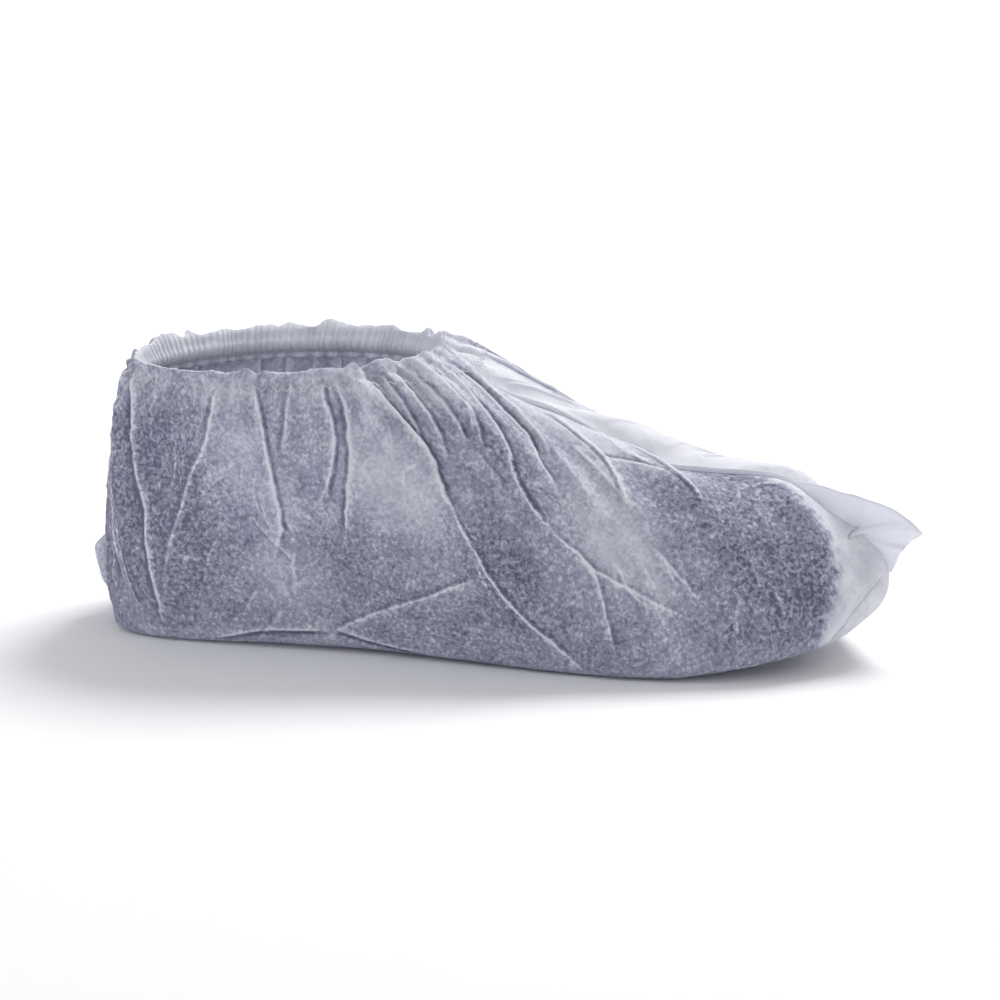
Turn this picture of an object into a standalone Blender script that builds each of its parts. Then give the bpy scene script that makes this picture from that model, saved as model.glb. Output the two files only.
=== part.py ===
"""A disposable shoe cover of nonwoven cloth, in the shape it takes over a right shoe.

One cloth shell makes the sides, the vamp and the sole. A seam closes it in front, from the
opening to the pinched toe, and another behind, down the heel. An elastic band gathers the opening.
Metres, +Z up. +X points to the toe, -Y to the outer side of the foot, and the sole lies on z = 0.
"""

import math

import bmesh
import bpy
import numpy as np

# Driving sizes, in metres.
COVER_LENGTH = 0.335
COVER_WIDTH = 0.116
HEM_HEIGHT = 0.116
HEM_HEIGHT_BEHIND = 0.109
OPENING_LENGTH = 0.124
OPENING_WIDTH = 0.088
OPENING_SETBACK = 0.083  # from the back of the heel to the middle of the opening
WALL = 0.0012
SOLE_BOW = 0.009
BOW_SHARE = 0.10  # of the way round, over which the sole's rows reach that bow
SOLE_FLAT_SHARE = 0.4  # share of the sole's width that is quite flat
TOE_SWING = 0.008  # how far the toe lies towards the inner side of the foot
SIDE_SHIFT = -0.0022  # moves the whole, so that its middle lies on the frame's origin
FOLD_RISE = 0.0060
GATHER_RISE = 0.0020
GATHERS_A_SIDE = 11
GATHER_FADE_SHARE = 0.12  # share of the way down over which the gathers die away
SEAM_THICK = 0.0012
SEAM_STAND = 0.0022
HEEL_SEAM_SHARE = 0.93  # how far down the heel its seam goes
HEEL_FIN_STAND = 0.0078
FIN_START_SHARE = 0.70  # how far down the heel its edge starts to stand out, and over how much of it
FIN_RUN_SHARE = 0.07
FIN_END_SHARE = 1.02  # where it is back at the cloth, and over how much of the way
FIN_FADE_SHARE = 0.2
BEAK_REACH = 0.025  # how far the pinched cloth at the toe stands out
ELASTIC_WIDE = 0.0050
ELASTIC_THICK = 0.0010
SEAT_GAP = 0.0003  # between pieces that touch

# How finely the cloth is divided.
COLUMNS = 66
ROWS = 16
SOLE_ROWS = 6
HEEL_STEPS = 32
ELASTIC_STEPS = 72

# Where, between the heel seam at 0 and the toe at 1, the opening ends and the front seam starts.
OPENING_SHARE = 2 / 3

# One row for each section of a side, from the heel seam round to the toe. Lengthwise places are
# shares of COVER_LENGTH, places across are shares of half of COVER_WIDTH, and heights are shares
# of HEM_HEIGHT. A section leaves the sole's edge, swells by bulge at the height rise, and comes
# in under the hem or the front seam, reach of the way back to the sole's edge and puff further
# out. It does that at the height outer_crown on the outer side and inner_crown on the inner one.
SECTION_COLUMNS = (
    "around",
    "sole_x",
    "sole_y",
    "edge_lift",
    "middle_lift",
    "bulge",
    "rise",
    "reach",
    "puff",
    "outer_crown",
    "inner_crown",
)
SECTIONS = [
    (0.00, 0.036, 0.000, 0.018, 0.000, 0.170, 0.290, 1.10, 0.000, 0.750, 0.750),
    (0.08, 0.048, 0.400, 0.006, 0.000, 0.140, 0.290, 0.80, 0.060, 0.740, 0.740),
    (0.16, 0.093, 0.570, 0.000, 0.000, 0.120, 0.300, 0.62, 0.120, 0.740, 0.740),
    (0.24, 0.164, 0.620, 0.004, 0.000, 0.120, 0.300, 0.48, 0.170, 0.740, 0.740),
    (0.32, 0.263, 0.640, 0.018, 0.000, 0.120, 0.310, 0.42, 0.180, 0.740, 0.740),
    (0.39, 0.358, 0.660, 0.022, 0.000, 0.110, 0.310, 0.44, 0.180, 0.740, 0.740),
    (0.45, 0.480, 0.760, 0.012, 0.000, 0.090, 0.300, 0.52, 0.140, 0.740, 0.740),
    (0.50, 0.600, 0.870, 0.000, 0.000, 0.070, 0.290, 0.60, 0.090, 0.740, 0.740),
    (0.56, 0.675, 0.920, 0.000, 0.000, 0.070, 0.290, 0.64, 0.050, 0.730, 0.740),
    (0.62, 0.726, 0.920, 0.004, 0.000, 0.070, 0.290, 0.65, 0.020, 0.720, 0.730),
    (0.68, 0.765, 0.890, 0.018, 0.010, 0.080, 0.290, 0.64, 0.000, 0.710, 0.720),
    (0.75, 0.812, 0.820, 0.038, 0.030, 0.090, 0.290, 0.60, 0.000, 0.690, 0.720),
    (0.82, 0.856, 0.690, 0.058, 0.050, 0.110, 0.290, 0.58, 0.000, 0.660, 0.770),
    (0.89, 0.896, 0.480, 0.078, 0.072, 0.150, 0.280, 0.54, 0.040, 0.630, 0.730),
    (0.95, 0.918, 0.230, 0.094, 0.090, 0.230, 0.240, 0.48, 0.110, 0.510, 0.540),
    (1.00, 0.925, 0.000, 0.100, 0.100, 0.330, 0.200, 0.90, 0.200, 0.380, 0.380),
]

# The line of the front seam, from the opening to the toe.
RIDGE_COLUMNS = ("around", "x", "z")
RIDGE = [
    (0.667, 0.433, 1.000),
    (0.700, 0.462, 0.925),
    (0.735, 0.502, 0.848),
    (0.770, 0.562, 0.795),
    (0.800, 0.630, 0.695),
    (0.830, 0.681, 0.618),
    (0.865, 0.740, 0.603),
    (0.905, 0.815, 0.596),
    (0.935, 0.849, 0.553),
    (0.960, 0.878, 0.500),
    (0.980, 0.905, 0.466),
    (1.000, 0.924, 0.455),
]

# How far the front seam's edge stands ahead of its line and above it. Up to 1 the first column
# counts round the ridge, and past 1 it adds the share of the way down the toe.
BEAK_COLUMNS = ("along", "ahead", "above")
BEAK = [
    (0.667, 0.000, 0.088),
    (0.905, 0.000, 0.088),
    (0.935, 0.010, 0.160),
    (0.960, 0.050, 0.330),
    (0.980, 0.120, 0.380),
    (1.000, 0.520, 0.250),
    (1.090, 0.840, 0.000),
    (1.200, 0.540, -0.020),
    (1.360, 0.210, 0.000),
    (1.500, 0.050, 0.000),
]
BEAK_DOWN_SHARE = 0.5  # how far down the toe the front seam goes

# The folds: where each starts and ends around the side, how far down it starts and ends, its rise
# as a share of FOLD_RISE (below 0 in a dent), and its spread behind and ahead of its crest.
FOLD_COLUMNS = ("start", "end", "from_row", "to_row", "rise", "behind", "ahead")
OUTER_FOLDS = [
    (0.080, 0.174, 0.00, 1.00, 1.00, 0.026, 0.050),
    (0.040, 0.110, 0.05, 0.95, -0.30, 0.034, 0.034),
    (0.285, 0.176, 0.00, 0.88, 0.75, 0.034, 0.040),
    (0.245, 0.145, 0.05, 0.70, -0.40, 0.034, 0.030),
    (0.320, 0.328, 0.00, 0.80, 0.75, 0.020, 0.020),
    (0.356, 0.336, 0.00, 0.45, 0.55, 0.018, 0.018),
    (0.402, 0.386, 0.00, 0.60, 0.60, 0.018, 0.018),
    (0.424, 0.392, 0.00, 0.80, 0.70, 0.020, 0.020),
    (0.452, 0.505, 0.00, 1.00, 1.05, 0.020, 0.022),
    (0.476, 0.535, 0.02, 0.90, -0.45, 0.018, 0.018),
    (0.494, 0.488, 0.00, 0.55, 0.55, 0.018, 0.018),
    (0.548, 0.553, 0.00, 1.00, 0.90, 0.020, 0.024),
    (0.528, 0.530, 0.00, 0.60, -0.35, 0.018, 0.018),
    (0.588, 0.574, 0.00, 0.50, 0.60, 0.020, 0.020),
    (0.640, 0.620, 0.00, 0.55, 0.55, 0.020, 0.020),
    (0.735, 0.680, 0.02, 0.60, 0.60, 0.036, 0.036),
    (0.812, 0.788, 0.04, 0.55, 0.50, 0.034, 0.034),
    (0.490, 0.365, 0.62, 1.00, 0.55, 0.045, 0.045),
    (0.990, 0.890, 0.50, 1.00, 0.45, 0.045, 0.045),
]
INNER_FOLDS = [
    (0.070, 0.130, 0.00, 0.95, 0.80, 0.030, 0.044),
    (0.160, 0.150, 0.00, 0.70, 0.50, 0.022, 0.022),
    (0.250, 0.235, 0.00, 0.85, 0.80, 0.020, 0.020),
    (0.285, 0.270, 0.00, 0.50, 0.50, 0.018, 0.018),
    (0.350, 0.330, 0.00, 0.65, 0.65, 0.020, 0.020),
    (0.430, 0.455, 0.00, 0.95, 0.95, 0.020, 0.022),
    (0.455, 0.480, 0.02, 0.85, -0.40, 0.018, 0.018),
    (0.510, 0.500, 0.00, 0.50, 0.55, 0.018, 0.018),
    (0.580, 0.585, 0.00, 1.00, 0.85, 0.020, 0.022),
    (0.630, 0.625, 0.00, 0.55, 0.60, 0.020, 0.020),
    (0.700, 0.675, 0.02, 0.60, 0.55, 0.030, 0.030),
    (0.780, 0.750, 0.04, 0.50, 0.45, 0.034, 0.034),
    (0.990, 0.900, 0.45, 1.00, 0.40, 0.045, 0.045),
]

OUTER, INNER = -1, 1  # the sides' signs along Y


def column(table, names, name):
    """One named column of a table."""
    return np.array([row[names.index(name)] for row in table])


def smooth_curve(knots, values, at):
    """A smooth curve through the values that never overshoots them."""
    gaps = np.diff(knots)
    rises = np.diff(values) / gaps
    slopes = np.zeros(len(values))
    weight_a = 2 * gaps[1:] + gaps[:-1]
    weight_b = gaps[1:] + 2 * gaps[:-1]
    same_way = rises[:-1] * rises[1:] > 0
    before = np.where(same_way, rises[:-1], 1.0)
    after = np.where(same_way, rises[1:], 1.0)
    middle = (weight_a + weight_b) / (weight_a / before + weight_b / after)
    slopes[1:-1] = np.where(same_way, middle, 0.0)
    slopes[0], slopes[-1] = rises[0], rises[-1]
    span = np.clip(np.searchsorted(knots, at, side="right") - 1, 0, len(gaps) - 1)
    t = (at - knots[span]) / gaps[span]
    return (
        values[span] * (1 + 2 * t) * (1 - t) ** 2
        + slopes[span] * gaps[span] * t * (1 - t) ** 2
        + values[span + 1] * t * t * (3 - 2 * t)
        + slopes[span + 1] * gaps[span] * t * t * (t - 1)
    )


def section_value(name, around):
    return smooth_curve(column(SECTIONS, SECTION_COLUMNS, "around"), column(SECTIONS, SECTION_COLUMNS, name), around)


def lengthwise(share):
    """X of a share of the length, counted from the back of the heel."""
    return (share - 0.5) * COVER_LENGTH


def across(share):
    return share * COVER_WIDTH / 2


def ease(x):
    x = np.clip(x, 0, 1)
    return x * x * (3 - 2 * x)


def toe_swing(x):
    """How far the foot's middle line has moved to the inner side at x."""
    return TOE_SWING * ease((x / COVER_LENGTH + 0.15) / 0.65) + SIDE_SHIFT


def sole_edge(around, side):
    """The line where a side turns under into the sole."""
    x = lengthwise(section_value("sole_x", around))
    y = side * across(section_value("sole_y", around))
    z = HEM_HEIGHT * section_value("edge_lift", around)
    return np.stack([x, y, z], axis=-1)


def hem_height(x):
    """The height of the opening's hem, which tilts up to the front."""
    back = lengthwise(0) + OPENING_SETBACK - OPENING_LENGTH / 2
    return HEM_HEIGHT_BEHIND + (HEM_HEIGHT - HEM_HEIGHT_BEHIND) * (x - back) / OPENING_LENGTH


def hem_line(around, side, inset=0.0, drop=0.0):
    """The oval of the opening, from the heel at 0 to the front at OPENING_SHARE."""
    turn = math.pi * (1 - around / OPENING_SHARE)
    x = lengthwise(0) + OPENING_SETBACK + (OPENING_LENGTH / 2 - inset) * np.cos(turn)
    y = side * (OPENING_WIDTH / 2 - inset) * np.sin(turn)
    return np.stack([x, y, hem_height(x) - drop], axis=-1)


def ridge_line(around):
    """The line of the front seam, which starts at the front of the opening."""
    knots = column(RIDGE, RIDGE_COLUMNS, "around")
    start = hem_line(np.array([OPENING_SHARE]), OUTER)[0]
    x = lengthwise(smooth_curve(knots, column(RIDGE, RIDGE_COLUMNS, "x"), around))
    z = HEM_HEIGHT * smooth_curve(knots, column(RIDGE, RIDGE_COLUMNS, "z"), around)
    first_x, first_z = lengthwise(RIDGE[0][1]), HEM_HEIGHT * RIDGE[0][2]
    left = 1 - ease((around - OPENING_SHARE) / (1 - OPENING_SHARE))
    x = x + (start[0] - first_x) * left
    z = z + (start[2] - first_z) * left
    return np.stack([x, np.zeros_like(x), z], axis=-1)


def top_line(around, side):
    """The upper edge of a side: the hem, then the front seam."""
    on_hem = hem_line(np.minimum(around, OPENING_SHARE), side)
    on_ridge = ridge_line(np.maximum(around, OPENING_SHARE))
    return np.where((around <= OPENING_SHARE)[:, None], on_hem, on_ridge)


def outward(around, side):
    """The way a side faces at its sole edge, in plan."""
    step = 0.004
    ahead = sole_edge(np.minimum(around + step, 1.0), side)
    behind = sole_edge(np.maximum(around - step, 0.0), side)
    # Past either seam the edge goes on along the other side.
    mirror = np.array([1.0, -1.0, 1.0])
    ahead = np.where((around + step > 1)[:, None], sole_edge(np.clip(2 - around - step, 0, 1), side) * mirror, ahead)
    behind = np.where((around < step)[:, None], sole_edge(np.clip(step - around, 0, 1), side) * mirror, behind)
    along = ahead - behind
    facing = np.stack([along[:, 1], -along[:, 0], np.zeros(len(around))], axis=-1) * -side
    return facing / np.linalg.norm(facing, axis=1, keepdims=True)


def side_sheet(around, down, side):
    """Points of one smooth side, indexed by [around, down]. down is 0 at the top and 1 at the sole."""
    top, sole = top_line(around, side), sole_edge(around, side)
    low = sole + outward(around, side) * across(section_value("bulge", around))[:, None]
    low[:, 2] = HEM_HEIGHT * section_value("rise", around)
    high = top + (sole - top) * section_value("reach", around)[:, None]
    high = high + outward(around, side) * across(section_value("puff", around))[:, None]
    crown = "outer_crown" if side == OUTER else "inner_crown"
    high[:, 2] = HEM_HEIGHT * section_value(crown, around)
    t = down[None, :, None]
    return (
        top[:, None] * (1 - t) ** 3
        + 3 * high[:, None] * (1 - t) ** 2 * t
        + 3 * low[:, None] * (1 - t) * t * t
        + sole[:, None] * t**3
    )


def facing(points, side):
    """The outward unit normals of a sheet of points."""
    along = np.gradient(points, axis=0)
    down = np.gradient(points, axis=1)
    normal = np.cross(along, down) * side
    return normal / np.maximum(np.linalg.norm(normal, axis=2, keepdims=True), 1e-12)


def fold_heights(around, down, folds):
    """How far the folds stand out from the smooth side."""
    a, d = np.meshgrid(around, down, indexing="ij")
    height = np.zeros_like(a)
    for row in folds:
        fold = dict(zip(FOLD_COLUMNS, row))
        share = np.clip((d - fold["from_row"]) / (fold["to_row"] - fold["from_row"]), 0, 1)
        off = a - (fold["start"] + (fold["end"] - fold["start"]) * share)
        spread = np.where(off < 0, fold["behind"], fold["ahead"])
        profile = np.clip(1 - np.abs(off) / spread, 0, 1)
        fade = ease((fold["to_row"] - d) / 0.25) * ease((d - fold["from_row"]) / 0.06 + 0.4)
        height += FOLD_RISE * fold["rise"] * profile * fade
    return height


def gather_heights(around, down):
    """The small even gathers that the elastic makes under the hem."""
    a, d = np.meshgrid(around, down, indexing="ij")
    wave = 0.5 - 0.5 * np.cos(2 * math.pi * GATHERS_A_SIDE * a / OPENING_SHARE)
    on_hem = ease((OPENING_SHARE - a) / 0.02)
    return GATHER_RISE * wave * on_hem * np.exp(-d / GATHER_FADE_SHARE)


def held_by_seams(around, down):
    """1 in the open cloth, falling to 0 at the seams and at the sole's edge."""
    a, d = np.meshgrid(around, down, indexing="ij")
    at_heel = ease(a / 0.03)
    at_toe = ease((1 - a) / 0.05)
    at_ridge = np.where(a > OPENING_SHARE - 0.02, ease(d / 0.12), 1.0)
    return at_heel * at_toe * at_ridge * ease((1 - d) / 0.08)


def folded_side(around, down, side, folds):
    points = side_sheet(around, down, side)
    heights = fold_heights(around, down, folds) + gather_heights(around, down)
    heights = heights * held_by_seams(around, down)
    return points + facing(points, side) * heights[..., None]


def sole_sheet(around, outer_edge, inner_edge):
    """The sole's points between its two edges, indexed by [around, across]."""
    middle = HEM_HEIGHT * section_value("middle_lift", around)
    # Near both ends the rows bow round the end, so that the cloth's cells stay well shaped there.
    from_heel = np.sin(np.minimum(around / BOW_SHARE, 1) * math.pi / 2) * (1 - ease((around - 0.2) / 0.4))
    from_toe = np.sin(np.minimum((1 - around) / BOW_SHARE, 1) * math.pi / 2) * ease((around - 0.6) / 0.25)
    bow = SOLE_BOW * (from_heel - from_toe)
    rows = []
    for k in range(1, SOLE_ROWS):
        share = k / SOLE_ROWS
        row = outer_edge * (1 - share) + inner_edge * share
        row[:, 0] += bow * (1 - (2 * share - 1) ** 2)
        sag = 1 - max((abs(2 * share - 1) - SOLE_FLAT_SHARE) / (1 - SOLE_FLAT_SHARE), 0) ** 3
        row[:, 2] = row[:, 2] * (1 - sag) + middle * sag
        rows.append(row)
    return np.stack(rows, axis=1)


def down_shares():
    """The rows of a side, from 0 at the top to 1 at the sole, closer together under the hem."""
    return np.linspace(0, 1, ROWS + 1) ** 1.15


def shell_grid():
    """The whole cloth as one grid: down the outer side, under the sole and up the inner side."""
    around = np.linspace(0, 1, COLUMNS + 1)
    down = down_shares()
    outer = folded_side(around, down, OUTER, OUTER_FOLDS)
    inner = folded_side(around, down, INNER, INNER_FOLDS)
    sole = sole_sheet(around, outer[:, -1], inner[:, -1])
    grid = np.concatenate([outer, sole, inner[:, ::-1]], axis=1)
    grid[..., 1] += toe_swing(grid[..., 0])
    grid[..., 2] = np.maximum(grid[..., 2], 0)
    return grid


def material(name, colour, roughness):
    made = bpy.data.materials.new(name)
    made.use_nodes = True
    shader = made.node_tree.nodes["Principled BSDF"]
    shader.inputs["Base Color"].default_value = (*colour, 1.0)
    shader.inputs["Roughness"].default_value = roughness
    shader.inputs["Metallic"].default_value = 0.0
    made.diffuse_color = (*colour, 1.0)
    return made


def add_object(name, mesh, finish):
    piece = bpy.data.objects.new(name, mesh)
    bpy.context.scene.collection.objects.link(piece)
    mesh.materials.append(finish)
    return piece


def make_shell(finish):
    grid = shell_grid()
    wide = grid.shape[1]
    faces = []
    for i in range(grid.shape[0] - 1):
        for j in range(wide - 1):
            a = i * wide + j
            faces.append((a, a + 1, a + wide + 1, a + wide))
    mesh = bpy.data.meshes.new("cover_shell")
    mesh.from_pydata(grid.reshape(-1, 3).tolist(), [], faces)
    soft = bmesh.new()
    soft.from_mesh(mesh)
    # The two sides meet point for point along both seams.
    bmesh.ops.remove_doubles(soft, verts=soft.verts, dist=1e-6)
    bmesh.ops.dissolve_degenerate(soft, edges=soft.edges, dist=1e-6)
    bmesh.ops.recalc_face_normals(soft, faces=soft.faces)
    lowest = min(soft.faces, key=lambda face: face.calc_center_median().z)
    if lowest.normal.z > 0:
        bmesh.ops.reverse_faces(soft, faces=soft.faces)
    soft.to_mesh(mesh)
    soft.free()
    shell = add_object("cover_shell", mesh, finish)
    wall = shell.modifiers.new("cloth_wall", "SOLIDIFY")
    wall.thickness = WALL
    wall.offset = -1
    wall.use_even_offset = True
    wall.use_quality_normals = True
    wall.use_rim = True
    mesh.shade_smooth()
    return shell


def swept(name, path, stand_way, stand, thick_way, thick, finish, closed=False):
    """A strip of rectangular section along a path, standing out by stand and thick across."""
    half = thick_way * (thick / 2)
    reach = stand_way * np.asarray(stand).reshape(-1, 1)
    rings = np.stack([path - half, path + half, path + half + reach, path - half + reach], axis=1)
    count = len(path)
    faces = []
    for i in range(count if closed else count - 1):
        here, there = 4 * i, 4 * ((i + 1) % count)
        for k in range(4):
            after = (k + 1) % 4
            faces.append((here + k, here + after, there + after, there + k))
    if not closed:
        faces.append((3, 2, 1, 0))
        faces.append(tuple(4 * (count - 1) + k for k in range(4)))
    mesh = bpy.data.meshes.new(name)
    mesh.from_pydata(rings.reshape(-1, 3).tolist(), [], faces)
    solid = bmesh.new()
    solid.from_mesh(mesh)
    bmesh.ops.recalc_face_normals(solid, faces=solid.faces)
    solid.to_mesh(mesh)
    solid.free()
    return add_object(name, mesh, finish)


def away_from_seam(points, turn):
    """The way out from the cloth along a seam, in the seam's own upright plane."""
    along = np.gradient(points, axis=0)
    out = np.stack([-along[:, 2], np.zeros(len(points)), along[:, 0]], axis=-1) * turn
    return out / np.linalg.norm(out, axis=1, keepdims=True)


def swung(points):
    moved = points.copy()
    moved[:, 1] += toe_swing(points[:, 0])
    return moved


def seat_height(around):
    """How far the front seam must stand off its line to clear the cloth that swells beside it."""
    out = away_from_seam(ridge_line(around), 1)
    steepest = np.zeros(len(around))
    for side, folds in ((OUTER, OUTER_FOLDS), (INNER, INNER_FOLDS)):
        beside = folded_side(around, down_shares()[:2], side, folds)
        step = beside[:, 1] - beside[:, 0]
        rise = np.sum(step * out, axis=1)
        steepest = np.maximum(steepest, rise / np.maximum(np.abs(step[:, 1]), WALL))
    return SEAT_GAP + steepest * SEAM_THICK / 2


def make_front_seam(finish):
    """The raised seam, which ends in the pinched beak and runs on down the toe."""
    around = np.linspace(OPENING_SHARE, 1, round(COLUMNS * (1 - OPENING_SHARE)) + 1)
    down = np.linspace(0, BEAK_DOWN_SHARE, round(ROWS * BEAK_DOWN_SHARE) + 1)[1:]
    line = np.concatenate([ridge_line(around), side_sheet(np.array([1.0]), down, OUTER)[0]])
    along = np.concatenate([around, 1 + down])
    knots = column(BEAK, BEAK_COLUMNS, "along")
    ahead = BEAK_REACH * smooth_curve(knots, column(BEAK, BEAK_COLUMNS, "ahead"), along)
    above = BEAK_REACH * smooth_curve(knots, column(BEAK, BEAK_COLUMNS, "above"), along)
    stand = np.stack([ahead, np.zeros_like(ahead), above], axis=-1)
    seat = np.concatenate([seat_height(around), np.full(len(down), SEAT_GAP)])
    path = swung(line + away_from_seam(line, 1) * seat[:, None])
    thick_way = np.tile([0.0, 1.0, 0.0], (len(path), 1))
    return swept("front_seam", path, stand, np.ones(len(path)), thick_way, SEAM_THICK, finish)


def make_heel_seam(finish):
    down = np.linspace(0, HEEL_SEAM_SHARE, HEEL_STEPS + 1)
    line = side_sheet(np.array([0.0]), down, OUTER)[0]
    out = away_from_seam(line, -1)
    path = swung(line + out * SEAT_GAP)
    fin = ease((down - FIN_START_SHARE) / FIN_RUN_SHARE) * ease((FIN_END_SHARE - down) / FIN_FADE_SHARE)
    stand = SEAM_STAND + (HEEL_FIN_STAND - SEAM_STAND) * fin
    thick_way = np.tile([0.0, 1.0, 0.0], (len(path), 1))
    return swept("heel_seam", path, out, stand, thick_way, SEAM_THICK, finish)


def make_elastic(finish):
    """The flat band inside the hem, which carries the gathers."""
    inset = WALL + SEAT_GAP + ELASTIC_THICK / 2
    turn = np.arange(ELASTIC_STEPS) / ELASTIC_STEPS * 2
    around = np.where(turn < 1, turn, 2 - turn) * OPENING_SHARE
    side = np.where(turn < 1, OUTER, INNER)
    path = hem_line(around, side, inset=inset, drop=ELASTIC_WIDE + WALL)
    path = swung(path)
    middle = np.array([lengthwise(0) + OPENING_SETBACK, 0.0, 0.0])
    out = (path - middle) * np.array([1.0, 1.0, 0.0])
    out = out / np.linalg.norm(out, axis=1, keepdims=True)
    up = np.tile([0.0, 0.0, 1.0], (ELASTIC_STEPS, 1))
    return swept("opening_elastic", path, up, np.full(ELASTIC_STEPS, ELASTIC_WIDE), out, ELASTIC_THICK, finish, True)


def clear_scene():
    for piece in list(bpy.data.objects):
        bpy.data.objects.remove(piece)


def main():
    clear_scene()
    cloth = material("nonwoven_cloth", (0.66, 0.67, 0.75), 0.85)
    seam_cloth = material("seam_cloth", (0.80, 0.81, 0.86), 0.85)
    rubber = material("covered_elastic", (0.86, 0.86, 0.88), 0.75)
    make_shell(cloth)
    make_front_seam(seam_cloth)
    make_heel_seam(seam_cloth)
    make_elastic(rubber)


main()
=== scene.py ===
# %% [markdown]
# # A shoe cover of thin nonwoven cloth
# This file dresses a plain solid model as a real disposable shoe cover. Cloth like this is thin, light and
# a little see-through. It is gathered by an elastic at the ankle, joined by a raised seam over the instep,
# and it keeps every crease that it gets. Read it from top to bottom: each step first says what it makes.

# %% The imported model
import math

import bmesh
import bpy
import numpy as np
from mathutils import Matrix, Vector, noise


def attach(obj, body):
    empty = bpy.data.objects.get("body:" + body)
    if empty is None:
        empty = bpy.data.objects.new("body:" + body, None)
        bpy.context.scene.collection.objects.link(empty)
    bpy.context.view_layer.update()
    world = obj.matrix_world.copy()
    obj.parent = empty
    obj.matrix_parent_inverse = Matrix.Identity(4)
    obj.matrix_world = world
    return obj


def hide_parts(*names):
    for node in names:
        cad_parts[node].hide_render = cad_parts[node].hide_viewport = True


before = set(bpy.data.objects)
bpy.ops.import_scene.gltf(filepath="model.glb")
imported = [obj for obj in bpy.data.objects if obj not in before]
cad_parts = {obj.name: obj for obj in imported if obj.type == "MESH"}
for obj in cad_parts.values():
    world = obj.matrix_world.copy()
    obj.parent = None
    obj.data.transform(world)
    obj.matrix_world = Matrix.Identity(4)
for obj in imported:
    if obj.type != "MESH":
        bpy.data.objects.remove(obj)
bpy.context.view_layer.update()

# %% [markdown]
# ## The sizes and the sections
# A cover has no rigid shape of its own, so its form is written down as sections, like a boat's hull.
# Each row below is one section of a side, from the heel seam at 0 round to the toe at 1. It could also
# be sculpted by hand, but a short table is easier to check and gives the same cover each time.

# %% Sizes in metres, and the tables of shares
COVER_LENGTH, COVER_WIDTH = 0.335, 0.116
HEM_HEIGHT, HEM_HEIGHT_BEHIND = 0.116, 0.109
OPENING_LENGTH, OPENING_WIDTH, OPENING_SETBACK = 0.124, 0.088, 0.083
OPENING_END = 2 / 3
SOLE_BOW, BOW_SPREAD, SOLE_FLAT = 0.009, 0.10, 0.4
TOE_SWING, SIDE_SHIFT = 0.008, -0.0022
FOLD_RISE = 0.0046
OUTER, INNER = -1, 1
MM = 0.001

SECTION_COLUMNS = (
    "around", "sole_x", "sole_y", "edge_lift", "middle_lift", "bulge",
    "rise", "reach", "puff", "outer_crown", "inner_crown",
)
SECTIONS = [
    (0.00, 0.036, 0.000, 0.018, 0.000, 0.170, 0.290, 1.10, 0.000, 0.750, 0.750),
    (0.08, 0.048, 0.400, 0.006, 0.000, 0.140, 0.290, 0.80, 0.060, 0.740, 0.740),
    (0.16, 0.093, 0.570, 0.000, 0.000, 0.120, 0.300, 0.62, 0.120, 0.740, 0.740),
    (0.24, 0.164, 0.620, 0.004, 0.000, 0.120, 0.300, 0.48, 0.170, 0.740, 0.740),
    (0.32, 0.263, 0.640, 0.018, 0.000, 0.120, 0.310, 0.42, 0.180, 0.740, 0.740),
    (0.39, 0.358, 0.660, 0.022, 0.000, 0.110, 0.310, 0.44, 0.180, 0.740, 0.740),
    (0.45, 0.480, 0.760, 0.012, 0.000, 0.090, 0.300, 0.52, 0.140, 0.740, 0.740),
    (0.50, 0.600, 0.870, 0.000, 0.000, 0.070, 0.290, 0.60, 0.090, 0.740, 0.740),
    (0.56, 0.675, 0.920, 0.000, 0.000, 0.070, 0.290, 0.64, 0.050, 0.730, 0.740),
    (0.62, 0.726, 0.920, 0.004, 0.000, 0.070, 0.290, 0.65, 0.020, 0.720, 0.730),
    (0.68, 0.765, 0.890, 0.018, 0.010, 0.080, 0.290, 0.64, 0.000, 0.710, 0.720),
    (0.75, 0.812, 0.820, 0.038, 0.030, 0.090, 0.290, 0.60, 0.000, 0.690, 0.720),
    (0.82, 0.856, 0.690, 0.058, 0.050, 0.110, 0.290, 0.58, 0.000, 0.660, 0.770),
    (0.89, 0.896, 0.480, 0.078, 0.072, 0.150, 0.280, 0.54, 0.040, 0.630, 0.730),
    (0.95, 0.918, 0.230, 0.094, 0.090, 0.230, 0.240, 0.48, 0.110, 0.510, 0.540),
    (1.00, 0.925, 0.000, 0.100, 0.100, 0.330, 0.200, 0.90, 0.200, 0.380, 0.380),
]
RIDGE_COLUMNS = ("around", "x", "z")
RIDGE = [
    (0.667, 0.433, 1.000), (0.700, 0.462, 0.925), (0.735, 0.502, 0.848), (0.770, 0.562, 0.795),
    (0.800, 0.630, 0.695), (0.830, 0.681, 0.618), (0.865, 0.740, 0.603), (0.905, 0.815, 0.596),
    (0.935, 0.849, 0.553), (0.960, 0.878, 0.500), (0.980, 0.905, 0.466), (1.000, 0.924, 0.455),
]

# %% [markdown]
# ## Smooth curves between the rows
# A plain cubic curve can swing past its points and put a false bump in the cloth. This one is held so
# that it never does, because each slope is a weighted mean of the slopes on either side of a point.

# %% Curves and named columns


def column(table, names, name):
    """One named column of a table."""
    return np.array([row[names.index(name)] for row in table])


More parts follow.
